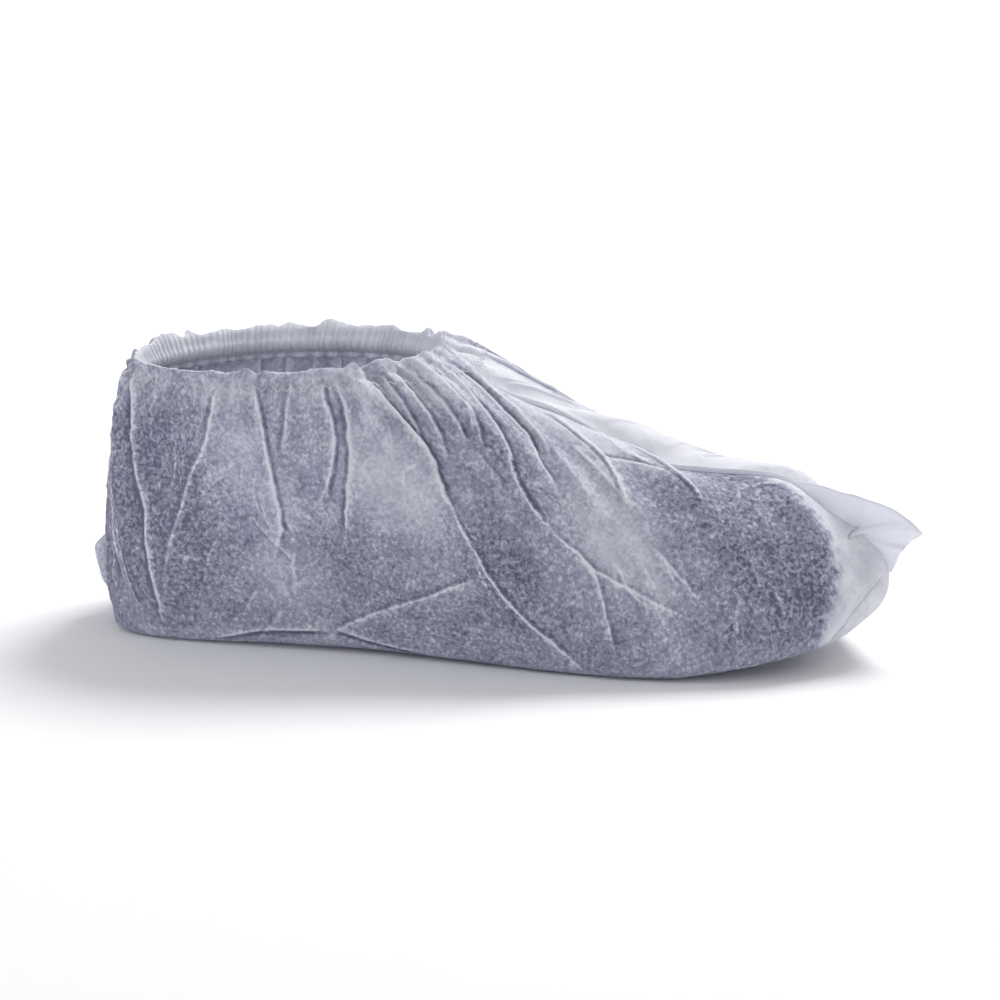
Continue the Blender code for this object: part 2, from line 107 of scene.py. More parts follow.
def smooth_curve(knots, values, at):
    """A smooth curve through the values that never overshoots them."""
    gaps = np.diff(knots)
    rises = np.diff(values) / gaps
    slopes = np.zeros(len(values))
    weight_a, weight_b = 2 * gaps[1:] + gaps[:-1], gaps[1:] + 2 * gaps[:-1]
    same_way = rises[:-1] * rises[1:] > 0
    before = np.where(same_way, rises[:-1], 1.0)
    after = np.where(same_way, rises[1:], 1.0)
    slopes[1:-1] = np.where(same_way, (weight_a + weight_b) / (weight_a / before + weight_b / after), 0.0)
    slopes[0], slopes[-1] = rises[0], rises[-1]
    span = np.clip(np.searchsorted(knots, at, side="right") - 1, 0, len(gaps) - 1)
    t = (at - knots[span]) / gaps[span]
    return (
        values[span] * (1 + 2 * t) * (1 - t) ** 2
        + slopes[span] * gaps[span] * t * (1 - t) ** 2
        + values[span + 1] * t * t * (3 - 2 * t)
        + slopes[span + 1] * gaps[span] * t * t * (t - 1)
    )


def table_curve(table, names, name, at):
    """A column of a table as a smooth curve over the table's first column."""
    return smooth_curve(column(table, names, names[0]), column(table, names, name), at)


def section_value(name, around):
    return table_curve(SECTIONS, SECTION_COLUMNS, name, around)


def ease(x):
    """0 below 0, 1 above 1, and a soft step between."""
    x = np.clip(x, 0, 1)
    return x * x * (3 - 2 * x)


def size_of(vectors):
    """The lengths of the vectors on the last axis."""
    return np.linalg.norm(vectors, axis=-1)


def unit(vectors):
    """The same ways, with length 1."""
    return vectors / np.maximum(size_of(vectors), 1e-12)[..., None]


def running(steps):
    """Sums along the first axis, from 0."""
    return np.concatenate([np.zeros_like(steps[:1]), np.cumsum(steps, axis=0)])


def lengthwise(share):
    return (share - 0.5) * COVER_LENGTH


def across(share):
    return share * COVER_WIDTH / 2


def toe_swing(x):
    """How far the middle line lies to the inner side at x."""
    return TOE_SWING * ease((x / COVER_LENGTH + 0.15) / 0.65) + SIDE_SHIFT


# %% [markdown]
# ## The smooth form of a side
# A side hangs from its upper edge, the gathered hem and then the front seam, and runs down to the edge of
# the sole. One cubic curve for each section gives it its belly. The upper edge is an oval for the hem and
# the ridge in front of it.

# %% Edges and sides


def sole_edge(around, side):
    x, y = lengthwise(section_value("sole_x", around)), side * across(section_value("sole_y", around))
    return np.stack([x, y, HEM_HEIGHT * section_value("edge_lift", around)], axis=-1)


def hem_height(x):
    back = lengthwise(0) + OPENING_SETBACK - OPENING_LENGTH / 2
    return HEM_HEIGHT_BEHIND + (HEM_HEIGHT - HEM_HEIGHT_BEHIND) * (x - back) / OPENING_LENGTH


def hem_line(around, side):
    """The oval of the opening, from the heel at 0 to the front at OPENING_END."""
    turn = math.pi * (1 - around / OPENING_END)
    x = lengthwise(0) + OPENING_SETBACK + OPENING_LENGTH / 2 * np.cos(turn)
    y = side * OPENING_WIDTH / 2 * np.sin(turn)
    return np.stack([x, y, hem_height(x)], axis=-1)


def ridge_line(around):
    """The line of the front seam."""
    start = hem_line(np.array([OPENING_END]), OUTER)[0]
    x = lengthwise(table_curve(RIDGE, RIDGE_COLUMNS, "x", around))
    z = HEM_HEIGHT * table_curve(RIDGE, RIDGE_COLUMNS, "z", around)
    left = 1 - ease((around - OPENING_END) / (1 - OPENING_END))
    x = x + (start[0] - lengthwise(RIDGE[0][1])) * left
    z = z + (start[2] - HEM_HEIGHT * RIDGE[0][2]) * left
    return np.stack([x, np.zeros_like(x), z], axis=-1)


def top_line(around, side):
    on_hem = hem_line(np.minimum(around, OPENING_END), side)
    on_ridge = ridge_line(np.maximum(around, OPENING_END))
    return np.where((around <= OPENING_END)[:, None], on_hem, on_ridge)


def outward(around, side):
    """The way a side faces at its sole edge, in plan."""
    step = 0.004
    ends = []
    for at in (around + step, around - step):  # past the heel or the toe it goes on round the other side
        past = ((at < 0) | (at > 1))[:, None]
        edge = sole_edge(np.where(at > 1, 2 - at, np.abs(at)), side)
        ends.append(edge * np.where(past, np.array([1.0, -1.0, 1.0]), 1.0))
    along = ends[0] - ends[1]
    return unit(np.stack([along[:, 1], -along[:, 0], np.zeros(len(around))], axis=-1) * -side)


def side_sheet(around, down, side):
    """Points of one smooth side, indexed by [around, down]."""
    top, sole = top_line(around, side), sole_edge(around, side)
    low = sole + outward(around, side) * across(section_value("bulge", around))[:, None]
    low[:, 2] = HEM_HEIGHT * section_value("rise", around)
    high = top + (sole - top) * section_value("reach", around)[:, None]
    high = high + outward(around, side) * across(section_value("puff", around))[:, None]
    high[:, 2] = HEM_HEIGHT * section_value("outer_crown" if side == OUTER else "inner_crown", around)
    t = down[None, :, None]
    return (
        top[:, None] * (1 - t) ** 3
        + 3 * high[:, None] * (1 - t) ** 2 * t
        + 3 * low[:, None] * (1 - t) * t * t
        + sole[:, None] * t**3
    )


# %% [markdown]
# ## The broad folds
# The cloth is cut wide and gathered at the ankle, so long tents of cloth run from the hem to the sole.
# Each row is one tent: where it starts and ends around the side, how far down it goes, how high it is, and
# how wide it is behind and ahead of its crest. Below 0 it is a dent. The crest stays sharp and the feet
# run out softly, as pressed cloth does.

# %% Folds of each side
FOLD_COLUMNS = ("start", "end", "from_row", "to_row", "rise", "behind", "ahead")
OUTER_FOLDS = [
    (0.080, 0.174, 0.00, 1.00, 1.00, 0.026, 0.050),
    (0.040, 0.110, 0.05, 0.95, -0.30, 0.034, 0.034),
    (0.285, 0.176, 0.00, 0.88, 0.75, 0.034, 0.040),
    (0.245, 0.145, 0.05, 0.70, -0.40, 0.034, 0.030),
    (0.320, 0.328, 0.00, 0.80, 0.75, 0.020, 0.020),
    (0.356, 0.336, 0.00, 0.45, 0.55, 0.018, 0.018),
    (0.402, 0.386, 0.00, 0.60, 0.60, 0.018, 0.018),
    (0.424, 0.392, 0.00, 0.80, 0.70, 0.020, 0.020),
    (0.452, 0.505, 0.00, 1.00, 1.05, 0.020, 0.022),
    (0.476, 0.535, 0.02, 0.90, -0.45, 0.018, 0.018),
    (0.494, 0.488, 0.00, 0.55, 0.55, 0.018, 0.018),
    (0.548, 0.553, 0.00, 1.00, 0.90, 0.020, 0.024),
    (0.528, 0.530, 0.00, 0.60, -0.35, 0.018, 0.018),
    (0.588, 0.574, 0.00, 0.50, 0.60, 0.020, 0.020),
    (0.640, 0.620, 0.00, 0.55, 0.55, 0.020, 0.020),
    (0.735, 0.680, 0.02, 0.60, 0.60, 0.036, 0.036),
    (0.812, 0.788, 0.04, 0.55, 0.50, 0.034, 0.034),
    (0.490, 0.365, 0.62, 1.00, 0.55, 0.045, 0.045),
    (0.990, 0.890, 0.50, 1.00, 0.45, 0.045, 0.045),
]
INNER_FOLDS = [
    (0.070, 0.130, 0.00, 0.95, 0.80, 0.030, 0.044),
    (0.160, 0.150, 0.00, 0.70, 0.50, 0.022, 0.022),
    (0.250, 0.235, 0.00, 0.85, 0.80, 0.020, 0.020),
    (0.285, 0.270, 0.00, 0.50, 0.50, 0.018, 0.018),
    (0.350, 0.330, 0.00, 0.65, 0.65, 0.020, 0.020),
    (0.430, 0.455, 0.00, 0.95, 0.95, 0.020, 0.022),
    (0.455, 0.480, 0.02, 0.85, -0.40, 0.018, 0.018),
    (0.510, 0.500, 0.00, 0.50, 0.55, 0.018, 0.018),
    (0.580, 0.585, 0.00, 1.00, 0.85, 0.020, 0.022),
    (0.630, 0.625, 0.00, 0.55, 0.60, 0.020, 0.020),
    (0.700, 0.675, 0.02, 0.60, 0.55, 0.030, 0.030),
    (0.780, 0.750, 0.04, 0.50, 0.45, 0.034, 0.034),
    (0.990, 0.900, 0.45, 1.00, 0.40, 0.045, 0.045),
]
CREST_SHARPNESS = 1.35


def fold_heights(around, down, folds):
    a, d = np.meshgrid(around, down, indexing="ij")
    height = np.zeros_like(a)
    for row in folds:
        fold = dict(zip(FOLD_COLUMNS, row))
        share = np.clip((d - fold["from_row"]) / (fold["to_row"] - fold["from_row"]), 0, 1)
        off = a - (fold["start"] + (fold["end"] - fold["start"]) * share)
        spread = np.where(off < 0, fold["behind"], fold["ahead"]) * CREST_SHARPNESS
        profile = np.clip(1 - np.abs(off) / spread, 0, 1) ** CREST_SHARPNESS
        fade = ease((fold["to_row"] - d) / 0.25) * ease((d - fold["from_row"]) / 0.06 + 0.4)
        height += FOLD_RISE * fold["rise"] * profile * fade
    return height


def held_by_seams(around, down):
    """1 in the open cloth, falling to 0 at the seams and at the sole's edge."""
    a, d = np.meshgrid(around, down, indexing="ij")
    at_ridge = np.where(a > OPENING_END - 0.02, ease(d / 0.12), 1.0)
    return ease(a / 0.03) * ease((1 - a) / 0.05) * at_ridge * ease((1 - d) / 0.08)


def way_out(points):
    """The outward unit normals of the cover's grid of points."""
    return unit(np.cross(np.gradient(points, axis=1), np.gradient(points, axis=0)))


# %% [markdown]
# ## One fine grid for the whole cover
# The cloth is laid out as one grid: down the outer side, across the sole and up the inner side. Later it is
# cut into three pieces along grid lines, so that neighbouring pieces share every edge point and no gap can
# open. Its squares are about a millimetre, which is fine enough for the narrow creases.

# %% Lay out the grid
AROUND_STEPS, DOWN_STEPS, SOLE_STEPS, WRAP_STEPS = 416, 104, 40, 6
around = np.linspace(0, 1, AROUND_STEPS + 1)
down = np.linspace(0, 1, DOWN_STEPS + 1) ** 1.15


def sole_rows(outer_edge, inner_edge):
    """The rows of the sole between its two edges. Near both ends they bow round the end."""
    middle = HEM_HEIGHT * section_value("middle_lift", around)
    from_heel = np.sin(np.minimum(around / BOW_SPREAD, 1) * math.pi / 2) * (1 - ease((around - 0.2) / 0.4))
    from_toe = np.sin(np.minimum((1 - around) / BOW_SPREAD, 1) * math.pi / 2) * ease((around - 0.6) / 0.25)
    rows = []
    for k in range(1, SOLE_STEPS):
        share = k / SOLE_STEPS
        row = outer_edge * (1 - share) + inner_edge * share
        row[:, 0] += SOLE_BOW * (from_heel - from_toe) * (1 - (2 * share - 1) ** 2)
        sag = 1 - max((abs(2 * share - 1) - SOLE_FLAT) / (1 - SOLE_FLAT), 0) ** 3
        row[:, 2] = row[:, 2] * (1 - sag) + middle * sag
        rows.append(row)
    return np.stack(rows, axis=1)


def folded_side(side, folds):
    points = side_sheet(around, down, side)
    heights = fold_heights(around, down, folds) * held_by_seams(around, down)
    return points + way_out(points) * (-side * heights)[..., None]


outer_side, inner_side = folded_side(OUTER, OUTER_FOLDS), folded_side(INNER, INNER_FOLDS)
cloth = np.concatenate(
    [outer_side, sole_rows(outer_side[:, -1], inner_side[:, -1]), inner_side[:, ::-1]], axis=1
)
cloth[..., 1] += toe_swing(cloth[..., 0])
ROW_OUTER_EDGE, ROW_INNER_EDGE = DOWN_STEPS, DOWN_STEPS + SOLE_STEPS
ROUNDED_ROWS, ROUNDING_PASSES = 4, 10


def from_top_down(points, side):
    """The rows of one side, from its upper edge down to the edge of the sole."""
    return points[:, : DOWN_STEPS + 1] if side == OUTER else points[:, ROW_INNER_EDGE:][:, ::-1]


near_edge = np.zeros(cloth.shape[1])
for edge_row in (ROW_OUTER_EDGE, ROW_INNER_EDGE):
    reach = np.abs(np.arange(cloth.shape[1]) - edge_row)
    near_edge = np.maximum(near_edge, np.clip(1 - reach / (ROUNDED_ROWS + 1), 0, 1))
for _ in range(ROUNDING_PASSES):  # the turn into the sole is rounded a little
    mean = cloth.copy()
    mean[:, 1:-1] = (cloth[:, 2:] + 2 * cloth[:, 1:-1] + cloth[:, :-2]) / 4
    cloth += (mean - cloth) * near_edge[None, :, None]
cloth[..., 2] = np.maximum(cloth[..., 2], 0)
print("grid points:", cloth.shape[0] * cloth.shape[1])

# %% [markdown]
# ## Creases, one by one
# Thin nonwoven cloth keeps sharp creases. Under light each one is a bright thin crest with a dark tuck on
# one side, where the fold lies over the cloth next to it. They are drawn as lines in the side's own
# numbers, (around, down), and their height is worked out from the true distance to the line in space.
# Bump in a material would only fake this, and it would be gone from the mesh.

# %% The crease lines: crest height and half width in mm, tuck depth in mm, tuck side (-1 heel, +1 toe). The crest height also sets how bright its painted highlight is, and the tuck depth how dark its painted shade is
CREASE_COLUMNS = ("crest", "half_width", "tuck", "tuck_side", "line")
OUTER_CREASES = [
    (1.30, 1.7, 1.1, -1, ((0.112, 0.05), (0.140, 0.265), (0.176, 0.595), (0.198, 0.985))),
    (0.95, 1.6, 0.5, -1, ((0.278, 0.06), (0.265, 0.250), (0.231, 0.475), (0.196, 0.800))),
    (1.00, 1.2, 0.8, 1, ((0.326, 0.05), (0.330, 0.230), (0.333, 0.350), (0.336, 0.560), (0.325, 0.665))),
    (0.40, 1.0, 0.4, 1, ((0.336, 0.555), (0.346, 0.600), (0.352, 0.625))),
    (0.80, 1.1, 0.4, -1, ((0.372, 0.04), (0.360, 0.195), (0.345, 0.320))),
    (0.95, 1.2, 1.0, 1, ((0.412, 0.05), (0.410, 0.205), (0.393, 0.395), (0.389, 0.470))),
    (1.10, 1.3, 0.9, -1, ((0.430, 0.05), (0.425, 0.205), (0.403, 0.470), (0.393, 0.610))),
    (1.70, 1.6, 1.6, 1, ((0.466, 0.05), (0.473, 0.195), (0.478, 0.300), (0.474, 0.420), (0.474, 0.500))),
    (1.30, 1.6, 0.7, 1, ((0.474, 0.47), (0.475, 0.585), (0.480, 0.700), (0.505, 0.895), (0.527, 0.995))),
    (0.90, 1.1, 0.8, 1, ((0.490, 0.04), (0.485, 0.175), (0.478, 0.275))),
    (0.80, 1.0, 0.7, 1, ((0.505, 0.04), (0.500, 0.165), (0.487, 0.310))),
    (0.85, 1.1, 0.7, 1, ((0.534, 0.04), (0.530, 0.160), (0.512, 0.275))),
    (0.70, 1.0, 0.6, 1, ((0.556, 0.04), (0.552, 0.150), (0.527, 0.295))),
    (1.30, 1.5, 1.0, 1, ((0.586, 0.04), (0.578, 0.150), (0.555, 0.275), (0.537, 0.430), (0.545, 0.545))),
    (0.80, 1.3, 0.4, 1, ((0.543, 0.520), (0.565, 0.635), (0.557, 0.775), (0.555, 0.900))),
    (0.70, 1.2, 0.3, 1, ((0.552, 0.590), (0.595, 0.675), (0.640, 0.735), (0.688, 0.780))),
    (1.10, 1.3, 1.0, 1, ((0.620, 0.04), (0.615, 0.150), (0.608, 0.240), (0.593, 0.325), (0.575, 0.420))),
    (0.85, 1.1, 0.6, 1, ((0.646, 0.04), (0.640, 0.155), (0.633, 0.230), (0.610, 0.330))),
    (1.25, 1.5, 0.8, -1, ((0.752, 0.05), (0.750, 0.105), (0.738, 0.250), (0.715, 0.350), (0.690, 0.450))),
    (0.90, 1.1, 0.8, 1, ((0.735, 0.265), (0.765, 0.250), (0.795, 0.250))),
    (1.30, 1.3, 0.7, -1, ((0.795, 0.090), (0.800, 0.155), (0.802, 0.265), (0.797, 0.385))),
    (0.80, 1.3, 0.6, 1, ((0.372, 0.930), (0.427, 0.790), (0.478, 0.660))),
    (0.45, 1.1, 0.5, 1, ((0.285, 0.890), (0.302, 0.775))),
    (0.45, 1.1, 0.5, 1, ((0.300, 0.980), (0.323, 0.855))),
    (0.90, 1.3, 1.3, -1, ((0.258, 0.975), (0.318, 0.935), (0.374, 0.928))),
    (0.70, 1.2, 1.3, -1, ((0.372, 0.925), (0.400, 0.958), (0.432, 0.990))),
    (0.50, 1.2, 0.2, 1, ((0.685, 0.565), (0.693, 0.630), (0.708, 0.725))),
    (1.10, 1.5, 0.7, -1, ((0.893, 0.960), (0.930, 0.790), (0.965, 0.640), (0.992, 0.500))),
    (0.80, 1.0, 0.7, -1, ((0.060, 0.16), (0.092, 0.480), (0.128, 0.800))),
    (0.75, 0.9, 0.7, 1, ((0.084, 0.25), (0.122, 0.560), (0.168, 0.930))),
    (0.60, 0.9, 0.6, -1, ((0.022, 0.35), (0.040, 0.600), (0.072, 0.900))),
    (0.55, 0.9, 0.5, 1, ((0.030, 0.12), (0.052, 0.300), (0.064, 0.420))),
    (0.65, 0.9, 0.6, -1, ((0.078, 0.42), (0.106, 0.620), (0.146, 0.860))),
    (0.60, 0.9, 0.5, 1, ((0.014, 0.22), (0.028, 0.430), (0.050, 0.640))),
    (0.60, 0.9, 0.5, -1, ((0.086, 0.08), (0.104, 0.250), (0.122, 0.420))),
    (0.50, 1.1, 0.3, 1, ((0.700, 0.10), (0.712, 0.170), (0.722, 0.240))),
    (0.45, 1.1, 0.3, -1, ((0.848, 0.300), (0.870, 0.200), (0.905, 0.130))),
]
INNER_CREASES = [
    (1.10, 1.6, 0.8, -1, ((0.075, 0.05), (0.095, 0.300), (0.118, 0.620), (0.132, 0.960))),
    (0.80, 1.3, 0.5, 1, ((0.165, 0.05), (0.158, 0.280), (0.150, 0.560), (0.160, 0.740))),
    (1.30, 1.5, 1.1, 1, ((0.252, 0.05), (0.246, 0.280), (0.238, 0.520), (0.230, 0.800))),
    (0.80, 1.1, 0.6, -1, ((0.290, 0.05), (0.280, 0.230), (0.262, 0.430))),
    (1.00, 1.3, 0.8, 1, ((0.354, 0.05), (0.344, 0.260), (0.332, 0.520), (0.340, 0.640))),
    (0.60, 1.1, 0.5, 1, ((0.392, 0.04), (0.384, 0.180), (0.368, 0.320))),
    (1.50, 1.6, 1.3, 1, ((0.430, 0.05), (0.440, 0.250), (0.444, 0.450), (0.458, 0.700), (0.476, 0.960))),
    (0.70, 1.2, 0.4, -1, ((0.444, 0.470), (0.410, 0.640), (0.372, 0.770))),
    (0.80, 1.1, 0.7, 1, ((0.514, 0.04), (0.506, 0.200), (0.496, 0.400))),
    (1.20, 1.4, 0.9, 1, ((0.578, 0.05), (0.582, 0.250), (0.578, 0.500), (0.592, 0.720), (0.586, 0.940))),
    (0.60, 1.2, 0.4, -1, ((0.582, 0.430), (0.630, 0.560), (0.676, 0.640))),
    (0.90, 1.2, 0.7, 1, ((0.632, 0.04), (0.630, 0.200), (0.622, 0.380))),
    (1.00, 1.4, 0.6, -1, ((0.706, 0.06), (0.700, 0.240), (0.678, 0.460))),
    (0.90, 1.2, 0.5, 1, ((0.782, 0.07), (0.774, 0.220), (0.755, 0.400))),
    (0.60, 1.2, 0.4, 1, ((0.840, 0.12), (0.830, 0.260), (0.800, 0.420))),
    (0.90, 1.5, 0.6, -1, ((0.905, 0.960), (0.940, 0.760), (0.975, 0.560))),
    (0.50, 1.1, 0.4, 1, ((0.270, 0.950), (0.300, 0.800), (0.350, 0.700))),
]

FAINT_A_SIDE = 52


def faint_creases(rng):
    """Short weak creases with no plan behind them, as any handled cloth has."""
    rows = []
    for _ in range(FAINT_A_SIDE):
        a, d = rng.uniform(0.03, 0.84), rng.uniform(0.12, 0.80)
        long, lean, bow = rng.uniform(0.07, 0.20), rng.normal(0, 0.022), rng.normal(0, 0.004)
        line = ((a, d), (a + lean / 2 + bow, d + long / 2), (a + lean, min(d + long, 0.97)))
        sizes = (rng.uniform(0.22, 0.52), rng.uniform(0.8, 1.2), rng.uniform(0.1, 0.4))
        rows.append((*sizes, int(rng.choice([-1, 1])), line))
    return rows


# %% [markdown]
# A given line is too straight, so each one gets small kinks. The kinks come from a generator with a
# fixed seed, which keeps the cover the same on every run. The thin bright line on a crest is finer than
# the grid, so each point also keeps its signed distance to the line. A distance runs evenly from point to
# point, and so the material can draw a line of any fineness from it. Lines that pass close to each other
# go into different groups, so that their distances don't mix.

# %% Crease lines in space
CREASE_STEP = 2.5 * MM
KINK, SWAY, SWAY_POINTS = 0.10 * MM, 0.95 * MM, 5
NUDGE = 0.002  # a small step around, to measure how long one unit is
CREST_SCALE, TUCK_SCALE = 0.62, 0.50
LINE_GROUPS, LINE_REACH = 4, 3.5 * MM
STRONG_CREST, STRONG_TUCK, FULL_TONE = 1.3, 1.4, 1.2  # in mm, from here a line shows at full strength


def on_grid(grid, a, d):
    """The points of a side's grid at any (around, down)."""
    i, j = a * AROUND_STEPS, np.interp(d, down, np.arange(DOWN_STEPS + 1))
    i0, j0 = np.minimum(i.astype(int), AROUND_STEPS - 1), np.minimum(j.astype(int), DOWN_STEPS - 1)
    u, v = (i - i0)[:, None], (j - j0)[:, None]
    return (
        grid[i0, j0] * (1 - u) * (1 - v) + grid[i0 + 1, j0] * u * (1 - v)
        + grid[i0, j0 + 1] * (1 - u) * v + grid[i0 + 1, j0 + 1] * u * v
    )


def crease_path(grid, line, rng):
    """A crease's points in space, with kinks."""
    knots = np.array(line)
    coarse = on_grid(grid, knots[:, 0], knots[:, 1])
    lengths = running(size_of(np.diff(coarse, axis=0)))
    at = np.linspace(0, lengths[-1], max(int(lengths[-1] / CREASE_STEP), 3) + 1)
    a, d = smooth_curve(lengths, knots[:, 0], at), smooth_curve(lengths, knots[:, 1], at)
    kinks = rng.normal(0, KINK, len(at))
    sways = rng.normal(0, SWAY, len(at) + SWAY_POINTS - 1)
    kinks += np.convolve(sways, np.ones(SWAY_POINTS) / SWAY_POINTS, "valid")
    metric = size_of(on_grid(grid, np.minimum(a + NUDGE, 1), d) - on_grid(grid, a, d)) / NUDGE
    return on_grid(grid, np.clip(a + kinks / np.maximum(metric, 0.05), 0, 1), d)


def free_group(path, groups):
    """The group of lines whose nearest line is farthest from this one."""
    gaps = [
        min((size_of(path[:, None] - other[None]).min() for other in group), default=1.0)
        for group in groups
    ]
    return int(np.argmax([min(gap, 2 * LINE_REACH) for gap in gaps]))


def crease_heights(points, normals, grid, creases, side, rng):
    """Heights of all creases over a block of points, masks for a painted highlight on each crest and painted
    shade in each tuck, and the lines for the material.
    """
    height, crest, tuck = (np.zeros(points.shape[:2]) for _ in range(3))
    lines = np.zeros((LINE_GROUPS, *points.shape[:2], 3))
    groups = [[] for _ in range(LINE_GROUPS)]
    for row in creases:
        crease = dict(zip(CREASE_COLUMNS, row))
        path = crease_path(grid, crease["line"], rng)
        half = crease["half_width"] * MM
        reach = max(4.0 * half, LINE_REACH)
        box = np.all((points > path.min(0) - reach) & (points < path.max(0) + reach), axis=2)
        p, n = points[box], normals[box]
        best = np.full(len(p), 1e9)
        signed, share = np.zeros(len(p)), np.zeros(len(p))
        for k in range(len(path) - 1):
            a, step = path[k], path[k + 1] - path[k]
            t = np.clip((p - a) @ step / (step @ step), 0, 1)
            off = p - a - t[:, None] * step
            far = size_of(off)
            near = far < best
            best[near] = far[near]
            signed[near] = np.sign(np.sum(off[near] * np.cross(n[near], step), axis=1)) * -side * far[near]
            share[near] = (k + t[near]) / (len(path) - 1)
        ends = ease(share / 0.12 + 0.25) * ease((1 - share) / 0.22)
        top = np.clip(1 - best / half, 0, 1) ** 1.25 * ends
        low = np.exp(-(((signed * crease["tuck_side"] - 1.25 * half) / (0.55 * half)) ** 2)) * ends
        height[box] += (CREST_SCALE * crease["crest"] * top - TUCK_SCALE * crease["tuck"] * low) * MM
        strong = min(crease["crest"], STRONG_CREST)
        held = strong / STRONG_CREST * ends * ease((LINE_REACH - best) / (0.6 * LINE_REACH))
        group = free_group(path, groups)
        groups[group].append(path)
        block = lines[group][box]
        stronger = held > block[:, 1]
        # How strongly a line's painted highlight, and the painted shade on its tuck side, show in the
        # material.
        shaded = held * min(crease["tuck"], STRONG_TUCK) / max(strong, 0.6)
        line_values = np.stack([signed * crease["tuck_side"] / MM, held, shaded], axis=-1)
        block[stronger] = line_values[stronger]
        lines[group][box] = block
        # Masks for the material: a painted highlight on the crest and painted shade in the tuck.
        crest[box] = np.maximum(crest[box], top * min(crease["crest"], FULL_TONE) / FULL_TONE)
        tuck[box] = np.maximum(tuck[box], low * min(crease["tuck"], FULL_TONE) / FULL_TONE)
    return height, crest, tuck, lines


# %% [markdown]
# ## Gathers and the frill
# The elastic pulls a wide edge into a short one, so the cloth stands in dozens of small pleats. Above the
# elastic they open into a frill, and below it they die away at different lengths. A regular wave looks
# like corrugated card, so each pleat has its own place, lean, height and length.

# %% Gathers along the hem
GATHERS_A_SIDE = 44
ELASTIC_DEPTH = 6.0 * MM  # how far below the edge the elastic lies
FRILL_RISE = 1.9 * MM
PINCH = 1.1 * MM


def gather_heights(points, side, rng):
    """Heights of the pleats over a side's rows, from the hem down."""
    height = np.zeros(points.shape[:2])
    crest = np.zeros_like(height)
    wide = size_of(np.gradient(points, axis=0)) * AROUND_STEPS  # metres per unit around
    deep = running(size_of(np.diff(points, axis=1)).T).T
    a = around[:, None] * np.ones_like(deep)
    places = (np.arange(GATHERS_A_SIDE) + 0.5 + rng.uniform(-0.33, 0.33, GATHERS_A_SIDE)) / GATHERS_A_SIDE
    for place in places:
        length = rng.choice([9, 14, 20, 30, 42], p=[0.24, 0.28, 0.22, 0.16, 0.10]) * MM
        rise = rng.uniform(0.6, 1.45) * MM
        half = rng.uniform(1.5, 2.3) * MM * (1 + deep / (26 * MM))
        lean = rng.normal(0, 0.16)
        bend = rng.normal(0, 2.2) * MM * np.sin(deep / (11 * MM) + rng.uniform(0, 6))
        off = (a - place * OPENING_END) * wide - lean * deep - bend * ease(deep / (20 * MM))
        fade = ease((length + ELASTIC_DEPTH - deep) / length) * (0.25 + 0.75 * ease(deep / ELASTIC_DEPTH))
        shape = np.clip(1 - np.abs(off) / half, 0, 1) ** 1.15 * fade
        height += rise * shape
        # A pleat's crest is also painted lighter by the material, a painted highlight.
        crest = np.maximum(crest, shape * rise / (1.6 * MM))
    # The frill: one wave of uneven length that opens towards the edge.
    along = np.cumsum(wide[:, 0]) / AROUND_STEPS
    phase = along / (2.35 * MM) + 1.4 * np.sin(along / (6.1 * MM) + side)
    phase += 0.9 * np.sin(along / (2.9 * MM) + 2)
    size = 0.65 + 0.35 * np.sin(along / (7.7 * MM) + 3 * side)
    opening = ease((ELASTIC_DEPTH - deep) / ELASTIC_DEPTH)
    height += opening * (FRILL_RISE * (np.sin(phase) * size)[:, None] + 0.9 * MM)
    height -= PINCH * np.exp(-(((deep - ELASTIC_DEPTH) / (2.3 * MM)) ** 2))
    on_hem = ease((OPENING_END - a) / 0.012) * ease(a / 0.008)
    return height * on_hem, crest * on_hem, deep


# %% [markdown]
# ## The cloth's own restlessness
# Between the creases the cloth isn't flat: it has shallow dents and faint pressed ridges, longer down than
# along. Noise that is folded at its zero line gives such ridges.

# %% Small dents and ridges


def restless(points, seed):
    """A height in -1..1 for shallow dents, and one in 0..1 for faint ridges."""
    flat = points.reshape(-1, 3) / MM
    dents, ridges = np.zeros(len(flat)), np.zeros(len(flat))
    for i, (x, y, z) in enumerate(flat):
        dents[i] = noise.noise((x / 21 + seed, y / 21, z / 30))
        fine = noise.noise((x / 11 + 7, y / 11 + seed, (z + 0.25 * x) / 19))
        ridges[i] = max(1 - 7 * abs(fine), 0)
    return dents.reshape(points.shape[:2]), ridges.reshape(points.shape[:2])


# %% Put every height on the grid
DENT_RISE, RIDGE_RISE, SOLE_RIDGE_RISE = 0.75 * MM, 0.32 * MM, 0.35 * MM
rng = np.random.default_rng(20)
normals = way_out(cloth)
# Besides the heights, two masks for the material: a painted highlight on crests and painted shade in tucks.
height, crest, tuck = (np.zeros(cloth.shape[:2]) for _ in range(3))
crease_lines = np.zeros((LINE_GROUPS, *cloth.shape[:2], 3))
dents, ridges = restless(cloth, 3.0)
a_all = around[:, None]
row = np.arange(cloth.shape[1])
side_down = np.concatenate([down, np.ones(SOLE_STEPS - 1), down[::-1]])[None, :]
at_seams = ease(a_all / 0.02) * ease((1 - a_all) / 0.03)
at_seams = at_seams * np.where(a_all > OPENING_END - 0.01, ease(side_down / 0.06), 1.0)
under = ((row > ROW_OUTER_EDGE) & (row < ROW_INNER_EDGE))[None, :]
outer_rows = slice(0, ROW_OUTER_EDGE + WRAP_STEPS + 1)
inner_rows = slice(ROW_INNER_EDGE - WRAP_STEPS, cloth.shape[1])
hem_depths = {}
